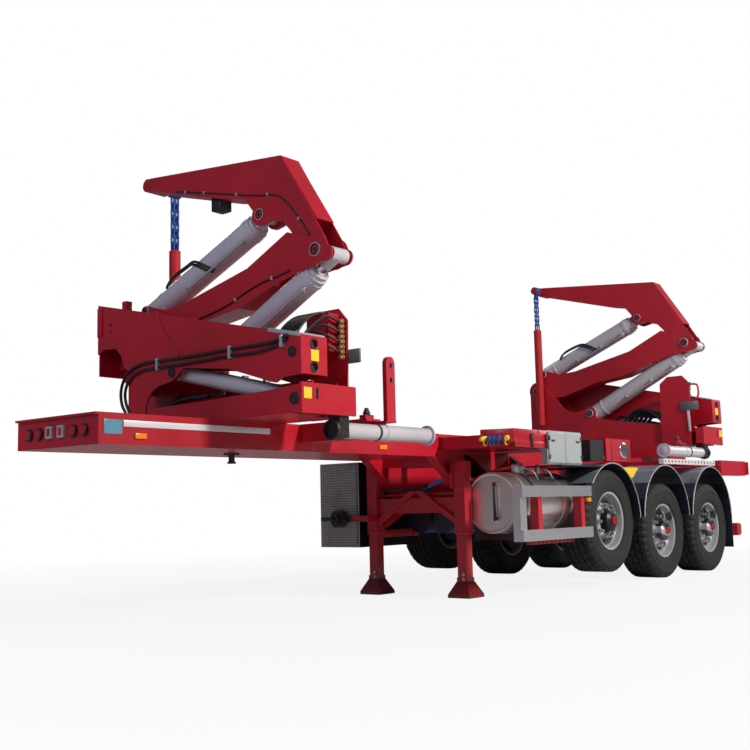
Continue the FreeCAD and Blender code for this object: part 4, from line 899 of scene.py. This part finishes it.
def dress_crane(crane):
    pin_caps(crane, "base", "crane", [(0.15, BOOM_FOOT, 0.06), (0.15, LIFT_FOOT, 0.05)])
    pin_caps(crane, "lower", "lower", [(0.124, ELBOW, 0.055), (0.124, REACH_FOOT, 0.045)])
    pin_caps(crane, "upper", "upper", [(0.105, REACH_EYE, 0.048)])
    cylinder_trim(crane, "lift", LIFT_FOOT, LIFT_EYE, 1.405, 1.3)
    cylinder_trim(crane, "reach", REACH_FOOT, REACH_EYE, 1.398, 1.28)
    side_lines(crane, "frame_hoses", "crane", [
        [(1.139, 2.135), (1.08, 2.112), (0.927, 2.092), (0.524, 2.098), (0.094, 2.088), (-0.318, 2.095),
         (-0.558, 2.096), (-0.731, 2.04), (-0.815, 1.9), (-0.795, 1.768), (-0.735, 1.7), (-0.7, 1.6)],
        [(1.129, 2.11), (1.06, 2.07), (0.828, 2.036), (0.524, 2.05), (0.094, 2.038), (-0.318, 2.042),
         (-0.56, 2.04), (-0.7, 1.985), (-0.758, 1.87), (-0.735, 1.77), (-0.69, 1.7), (-0.65, 1.6)],
    ], FRAME_FACE + 0.014, 0.0125, [(0.534, 2.073, 0.026, 0.1), (-0.325, 2.068, 0.026, 0.1),
                                    (1.085, 2.096, 0.026, 0.09), (-0.678, 1.615, 0.09, 0.03)])
    crane.dress([crane.hose(run, 0.015) for run in (
        [(0.36, -0.6, 1.64), (0.33, -0.42, 1.735), (0.3, -0.25, 1.805), (0.3, -0.08, 1.8),
         (0.28, 0.12, 1.792)],
        [(0.4, -0.6, 1.622), (0.38, -0.44, 1.69), (0.35, -0.3, 1.76), (0.34, -0.14, 1.79),
         (0.32, 0.08, 1.783)],
        [(0.19, 0.06, 1.88), (0.19, 0.3, 1.85), (0.19, 0.62, 1.82)],
        [(0.18, 0.06, 1.915), (0.18, 0.3, 1.9), (0.18, 0.62, 1.845)])], "inner_hoses", BLACK)
    crane.dress([crane.box(0.15, 0.206, y, y + 0.03, 1.8, 1.935, 0.004) for y in (0.1, 0.34, 0.58)],
                "inner_clamps", DULL)
    side_lines(crane, "upper_line", "upper", [
        [(-0.56, 3.65), (-0.48, 3.632), (-0.3, 3.59), (0.02, 3.51), (0.3, 3.44), (0.48, 3.4)],
        [(0.48, 3.4), (0.64, 3.385), (0.76, 3.3), (0.86, 3.18), (0.96, 3.06), (1.01, 2.975)],
    ], 0.11, 0.0065, [(y, z, 0.016, 0.026) for y, z in (
        (-0.44, 3.622), (-0.2, 3.567), (0.2, 3.467), (0.56, 3.394), (0.9, 3.128))])
    side_lines(crane, "lower_line", "lower", [
        [(-0.52, 2.44), (-0.42, 2.452), (-0.15, 2.495), (0.1, 2.54), (0.3, 2.62), (0.52, 2.68),
         (0.7, 2.7), (0.82, 2.725)]], 0.131, 0.0065,
        [(y, z, 0.02, 0.03) for y, z in ((-0.3, 2.472), (0.2, 2.58), (0.62, 2.692))])
    barrel_hoses(crane)
    if crane.name == "rear":
        rear_extras(crane)
    plates_on(crane)
    valve_tower(crane)
    leg_joint(crane)
    if crane.name == "front":
        lamp = crane.box(-0.065, 0.065, -0.165, -0.045, 3.4, 3.525, 0.01, sunk=Y_AXIS, rim=0.01, depth=0.006)
        stem = crane.box(-0.016, 0.016, -0.12, -0.085, 3.515, 3.59, 0.004)
        crane.dress([lamp, stem], "work_lamp", BLACK, "upper")


# ---------------------------------------------------------------- chassis

def fender_edges():
    """Rolled grey rims along both edges of each wheel guard."""
    rims = []
    for number, first in enumerate((40, 2, 2)):
        angles = [math.radians(first + (178 - first) * step / 22) for step in range(23)]
        for y in FENDER_EDGES:
            rims.append(hose([(FIRST_AXLE_X - AXLE_PITCH * number + FENDER_RADIUS * math.cos(a), y,
                               AXLE_Z + FENDER_RADIUS * math.sin(a)) for a in angles],
                             0.0075, smooth=False, sides=1))
    dress(rims, "fender_rims", DULL)


def tank_dress():
    """Valves, filler, gauge, rim welds, straps and the filling hose of the oil tank."""
    y, z = TANK_Y, TANK_Z
    valves = []
    for x in (0.17, -0.13):
        body = spun([(0, 0), (0.034, 0), (0.034, 0.02), (0.02, 0.026), (0.02, 0.05), (0.03, 0.056),
                     (0.03, 0.074), (0.012, 0.08), (0, 0.082)], 24)
        valves.append(put(body, (x, y + 0.05, z + TANK_RADIUS - 0.008)))
        valves.append(hose([(x + dx, y + dy, height) for dx, dy, height in (
            (0, 0.05, 1.215), (-0.02, 0.1, 1.225), (-0.05, 0.15, 1.2), (-0.09, 0.16, 1.15),
            (-0.1, 0.175, 1.115))], 0.013))
        valves.append(hose([(x + dx, y + dy, height) for dx, dy, height in (
            (-0.035, 0.02, 1.262), (0, 0.05, 1.258), (0.045, 0.085, 1.268))], 0.008))
    dress(valves, "tank_valves", CHROME)
    filler = spun([(0.054, 0), (0.062, 0.002), (0.062, 0.02), (0.056, 0.024), (0.05, 0.034), (0, 0.036)], 32)
    dress(put(filler, (0.22, y, 1.2375)), "tank_filler", CHROME)
    welds = [put(spun([(0.262, 0), (0.278, 0.004), (0.284, 0)], 72), (x, y, z), (way, 0, 0))
             for x, way in ((0.6515, 1), (-0.4815, -1))]
    dress(welds, "tank_rims", STAINLESS)
    gauge = hose([(x, y + 0.06, height) for x, height in (
        (0.666, 0.735), (0.684, 0.735), (0.69, 0.75), (0.69, 1.05), (0.684, 1.065), (0.666, 1.065))], 0.0145)
    ends = [put(bolt(0.036, 0.018), (0.68, y + 0.06, height), X_AXIS) for height in (0.735, 1.065)]
    dress([gauge, *ends], "tank_gauge", IRON, slot="tyre")
    section = [(TANK_RADIUS + rise, across) for rise, across in (
        (-0.0005, -0.022), (0.0045, -0.02), (0.0045, 0.02), (-0.0005, 0.022))]
    dress([put(spun(section, 72), (x, y, z), X_AXIS) for x in (0.3, -0.43)], "tank_straps", BLACK)
    dress(hose([(0.69, 0.6, 1.15), (0.668, 0.606, 1.118), (0.63, 0.625, 1.12), (0.56, 0.665, 1.15),
                (0.45, 0.725, 1.195), (0.34, 0.78, 1.225), (0.272, 0.815, 1.236)], 0.016),
          "tank_hose", ORANGE)


def neck_dress():
    """Blank plate and strip on the neck's side, front sockets and caps, side markers."""
    side = NECK_SIDE
    boxes("neck_strip", mirrored([((3.275, side, 1.466), (4.695, side + 0.006, 1.512))]), WHITE, 0.002)
    boxes("neck_plate", [((4.706, side, 1.412), (4.856, side + 0.0045, 1.512))], SIGNBLUE, 0.0015,
          sunk=Y_AXIS, rim=0.006, depth=0.001)
    boxes("side_markers", mirrored([((x - 0.05, side, 1.385), (x + 0.05, side + 0.0155, 1.425))
                                    for x in (4.55, 1.86)]), AMBER, 0.005)
    dress([put(spun([(0.034, 0), (0.044, 0), (0.044, 0.018), (0.036, 0.0235), (0, 0.0236)], 28),
               (4.9012, y, 1.445), X_AXIS) for y in (-0.33, -0.205, 0.205, 0.33)], "front_sockets", BLACK)
    boxes("front_covers", [((4.897, y - 0.038, 1.406), (4.9245, y + 0.038, 1.494)) for y in (-0.07, 0.07)],
          DULL, 0.006, sunk=X_AXIS, rim=0.01, depth=0.004)


def lock_dress():
    """Dark steel cones and collars of the container locks, and the bright rings of the guide posts."""
    cones, rings = [], []
    for x in LOCK_X:
        for y in (LOCK_Y, -LOCK_Y):
            cone = spun([(0, 0.057), (0.0135, 0.0568), (0.03, 0.018), (0.0325, 0.011), (0.026, 0.0095),
                         (0.026, 0.001), (0.042, 0.0005), (0.044, 0)], 24)
            cones.append(put(cone, (x, y, DECK_Z + 0.0345)))
            cones += [put(bolt(0.022, 0.012), (x + dx, y, DECK_Z)) for dx in (-0.068, 0.068)]
    dress(cones, "lock_cones", IRON)
    for side in SIDES:
        for z in POST_HOLES_Z:
            for y, way in ((1.175, 1), (1.135, -1)):
                ring = spun([(0.0175, 0), (0.0185, 0.004), (0.027, 0.004), (0.028, 0)], 28)
                rings.append(put(ring, (POST_X, side * y, z), (0, side * way, 0)))
    dress(rings, "post_rings", CHROME)


def box_dress():
    """Doors, latches and lines of the control box, canister, power pack and lock bars."""
    face = PANEL_FACE
    boxes("panel_doors", [((x0, face, 1.266), (x1, face + 0.0045, 1.559))
                          for x0, x1 in ((-0.378, -0.066), (-0.058, 0.255))],
          GREY, 0.002, sunk=Y_AXIS, rim=0.012, depth=0.002)
    latches = [((x - 0.03, face + 0.0035, 1.47), (x + 0.03, face + 0.0125, 1.486)) for x in (-0.3, 0.18)]
    latches += [((x - 0.012, face + 0.0035, z), (x + 0.012, face + 0.01, z + 0.045))
                for x in (-0.372, 0.249) for z in (1.3, 1.48)]
    boxes("panel_latches", latches, IRON)
    port = [(0, 0.0268), (0.046, 0.0262), (0.06, 0.03), (0.078, 0.029), (0.0845, 0.024), (0.0845, 0)]
    dress(put(spun(port, 40), (-1.3, 1.24, 1.42), Y_AXIS), "canister_port", CHROME)
    boxes("canister_bands", [((x, 1.0985, 1.2985), (x + 0.03, 1.2415, 1.5415)) for x in (-1.47, -1.08)], IRON)
    steps = [0.33 * n for n in range(3)]
    boxes("pack_doors", [((x - 0.14, -1.206, 0.5), (x + 0.17, -1.1995, 1.31)) for x in steps],
          CHECKER, 0.002, sunk=(0, -1, 0), rim=0.016, depth=0.003)
    boxes("pack_handles", [((x + 0.1, -1.216, 0.9), (x + 0.13, -1.205, 1.0)) for x in steps], IRON, 0.004)
    # black caps painted as the shade inside the lock bar holes
    dress([put(raised_cap(0.013, 0.0024, rim=0.15, sink=0.5, sides=14),
               (-3.97 + 0.0955 * step, side * 1.1752, 1.333), (0, side, 0))
           for side in SIDES for step in range(16)], "lock_bar_holes", BLACK)


def bed_wing():
    """Outer corner of the side bed: its folded plate, grab rubbers, bright plugs and the couplers' row."""
    foot = [(0.975, 0.94, 1.452), (0.868, 1.246, 1.452), (0.18, 1.246, 1.452), (0.18, 0.94, 1.452)]
    lip = rounded_box((0.19, 1.24, 1.4), (0.86, 1.25, 1.46), 0.003)
    dress([cut_plate(foot, (0, 0, 0.118), 0.006), lip], "bed_wing", RED)
    boxes("bed_rubbers", [((x - 0.022, 1.2455, 1.395), (x + 0.022, 1.264, 1.535)) for x in (0.57, 0.3)],
          BLACK, 0.008)
    dress([put(raised_cap(0.016, 0.006, rim=0.2, sink=0.4, sides=20), (x, 1.2455, 1.553), Y_AXIS)
           for x in (0.64, 0.43)], "bed_plugs", CHROME)
    for name, finish, shares in (("blue_couplers", BLUE, (0.34, 0.46, 0.58)),
                                 ("yellow_couplers", YELLOW, (0.16, 0.8))):
        made = []
        for share in shares:
            x, y = 0.972 - 0.107 * share, 0.945 + 0.3 * share
            body = spun([(0, 0), (0.02, 0), (0.02, 0.026), (0.026, 0.03), (0.026, 0.052), (0.018, 0.058),
                         (0.018, 0.074), (0, 0.075)], 20)
            made.append(put(body, (x, y, 1.49), (1, share - 0.4, -0.25)))
            made.append(hose([(x + dx, y - dy, height) for dx, dy, height in (
                (0.012, 0, 1.482), (0.03, 0.01, 1.455), (0.012, 0.02, 1.425), (-0.04, 0.03, 1.42),
                (-0.08, 0.04, 1.452))], 0.008))
        dress(made, name, finish)


def guard_dress():
    """Amber marker behind the guard, and the yellow flap between the first two wheel guards."""
    boxes("guard_marker", [((-0.53, 1.19, 0.882), (-0.455, 1.262, 0.922))], AMBER, 0.006)
    outline = [(-1.27, 1.2, 1.243), (-1.75, 1.2, 1.243), (-1.6, 1.2, 1.13), (-1.44, 1.2, 1.15)]
    dress(cut_plate(outline, (0, 0.006, 0), 0.001), "yellow_flap", YELLOW)


def leg_dress():
    """Bolts and ribs of the landing legs, the black shaft and blue tube between them, the crank's grip."""
    heads, ribs = [], []
    for y in (LEG_Y, -LEG_Y):
        for dy in (-0.085, 0.085):
            heads += [put(bolt(0.024, 0.014), (LEG_X + dx, y + dy, 0.03)) for dx in (-0.085, 0.085)]
        heads += [put(bolt(0.026, 0.014), (0.7815, y + 0.02, z), X_AXIS) for z in (0.175, 0.22)]
        ribs += [rounded_box((LEG_X - 0.066, y - 0.066, z0), (LEG_X + 0.066, y + 0.066, z1), 0.004)
                 for z0, z1 in ((0.6, 0.622), (1.03, 1.048))]
    dress(heads, "leg_bolts", DULL)
    dress(ribs, "leg_collars", RED)
    shaft = hose([(0.735, y, z) for y, z in ((-0.487, 1.04), (-0.3, 1.045), (0.02, 1.05), (0.13, 1.055))],
                 0.017)
    knuckle = put(raised_cap(0.04, 0.05, sides=24), (0.735, 0.095, 1.054), (0, 1, 0.02))
    dress([shaft, knuckle], "leg_shaft", BLACK)
    tube = hose([(0.735, y, z) for y, z in ((0.13, 1.056), (0.2, 1.085), (0.34, 1.14), (0.487, 1.2))], 0.019)
    dress(tube, "leg_tube", BLUE)
    grip = spun([(0.0145, 0), (0.021, 0.003), (0.021, 0.052), (0.0145, 0.0575)], 20)
    dress(put(grip, (0.944, -1.022, 0.763), X_AXIS), "crank_grip", BLACK)


def rear_dress():
    """Lamp lenses and frames on the bumper, reflectors on the end beam, and the low step rail."""
    frames, lenses, ambers = [], [], []
    for y in (0.975, -0.975):
        frames.append(((-4.8495, y - 0.172, 0.418), (-4.844, y + 0.172, 0.542)))
        for middle, row in ((y - 0.108, lenses), (y, ambers), (y + 0.108, lenses)):
            row.append(((-4.858, middle - 0.048, 0.43), (-4.8485, middle + 0.048, 0.53)))
    boxes("lamp_frames", frames, BLACK, 0.002)
    for name, row, finish in (("lamp_lenses", lenses, LENS), ("lamp_ambers", ambers, AMBER)):
        boxes(name, row, finish, 0.006, sunk=(-1, 0, 0), rim=0.008, depth=0.002)
    teeth = [((-0.32 + 0.08 * n, 1.148, 0.486), (-0.29 + 0.08 * n, 1.158, 0.527)) for n in range(10)]
    boxes("low_rail", [((-0.33, 1.085, 0.488), (0.475, 1.15, 0.5275)), *teeth], RED, 0.004)
    boxes("tail_reflectors", [((-4.9245, y - 0.15, 1.262), (-4.92, y + 0.15, 1.302)) for y in (-0.9, 0.9)],
          LENS, 0.001)


def pack_frame():
    """Red panel and ribs between the power pack and the main beam."""
    boxes("pack_ribs", [((0.56, -0.6645, 0.56), (0.64, -0.612, 1.228)),
                        ((-0.1, -0.6645, 0.56), (-0.02, -0.612, 1.228)),
                        ((-0.02, -0.664, 0.56), (0.56, -0.63, 0.64))], RED, 0.005)


wheels()
for crane in (CraneFrame("front", FRONT_CRANE_X, 1), CraneFrame("rear", REAR_CRANE_X, -1)):
    dress_crane(crane)
for dress_up in (fender_edges, tank_dress, neck_dress, lock_dress, box_dress, bed_wing, guard_dress,
                 leg_dress, rear_dress, pack_frame):
    dress_up()


# ---------------------------------------------------------------- stage

def camera():
    """Low three-quarter view from ahead of the left side."""
    yaw, pitch, roll = (math.radians(a) for a in (219.316, 7.118, -1.34))
    ahead = Vector((math.cos(yaw) * math.cos(pitch), math.sin(yaw) * math.cos(pitch), math.sin(pitch)))
    right = Vector((math.sin(yaw), -math.cos(yaw), 0))
    up = right.cross(ahead)
    right, up = (right * math.cos(roll) + up * math.sin(roll), up * math.cos(roll) - right * math.sin(roll))
    data = bpy.data.cameras.new("camera")
    data.lens, data.sensor_width = 51.06, 36
    view = bpy.data.objects.new("camera", data)
    rows = zip(right, up, -ahead, (9.254, 6.473, 0.869))
    view.matrix_world = Matrix((*rows, (0, 0, 0, 1)))
    bpy.context.collection.objects.link(view)
    bpy.context.scene.camera = view


def light(name, place, target, size, power, colour=(1, 1, 1)):
    data = bpy.data.lights.new(name, "AREA")
    data.shape, data.size = "DISK", size
    data.energy, data.color = power, colour
    lamp = bpy.data.objects.new(name, data)
    lamp.location = place
    lamp.rotation_euler = (Vector(target) - Vector(place)).to_track_quat("-Z", "Y").to_euler()
    bpy.context.collection.objects.link(lamp)


def backdrop(strength, colour):
    """A world that lights at one level and shows white to the camera and through glass."""
    world = bpy.data.worlds.new("studio")
    bpy.context.scene.world = world
    world.use_nodes = True
    sky = Nodes(world.node_tree)
    sky.tree.nodes.clear()
    rays = sky.add("LightPath").outputs
    seen = sky.add("Math", {0: rays["Is Camera Ray"], 1: rays["Is Transmission Ray"]}, operation="MAXIMUM")
    soft = sky.add("Background", {"Color": (*colour, 1), "Strength": strength})
    white = sky.add("Background", {"Color": (1, 1, 1, 1)})
    mix = sky.add("MixShader", {0: seen.outputs[0], 1: soft.outputs[0], 2: white.outputs[0]})
    sky.add("OutputWorld", {0: mix.outputs[0]})


def floor():
    """Pale ground that keeps the shadow, and turns white to the camera away from the trailer."""
    bpy.ops.object.select_all(action="DESELECT")
    bpy.ops.mesh.primitive_plane_add(size=90, location=(0, 0, -0.002))
    ground = bpy.context.object
    ground.name = "floor"
    paint = Finish("floor", None, (0.55, 0.55, 0.57))
    paint.put("Roughness", 0.7)
    middle = paint.add("TexCoord").outputs["Object"]
    reach = paint.add("VectorMath", {0: middle}, operation="LENGTH").outputs["Value"]
    fade = paint.add("MapRange", {"Value": reach, "From Min": 3, "From Max": 12, "To Min": 0.86, "To Max": 1})
    share = Level(paint, fade.outputs[0]) * paint.add("LightPath").outputs["Is Camera Ray"]
    glow = paint.add("Emission", {"Color": (1, 1, 1, 1)})
    blend = paint.add("MixShader", {0: share, 1: paint.shader.outputs[0], 2: glow.outputs[0]})
    paint.feed(paint.tree.nodes["Material Output"].inputs["Surface"], blend.outputs[0])
    ground.data.materials.append(paint.material)


camera()
light("key", (0, 14, 9), (-0.5, 0, 1.6), 2.0, 2700, (1.0, 0.92, 0.82))
light("side", (-13, 5, 6), (-1, 0, 1.6), 5, 250)
light("front", (14, 1, 8), (3, 0, 1.8), 7, 560, (0.78, 0.82, 1.0))
light("back", (-4, -11, 9), (0, 0, 1.6), 6, 320)
backdrop(0.13, (0.86, 0.9, 1.0))
floor()
bpy.context.scene.view_settings.view_transform = "Standard"
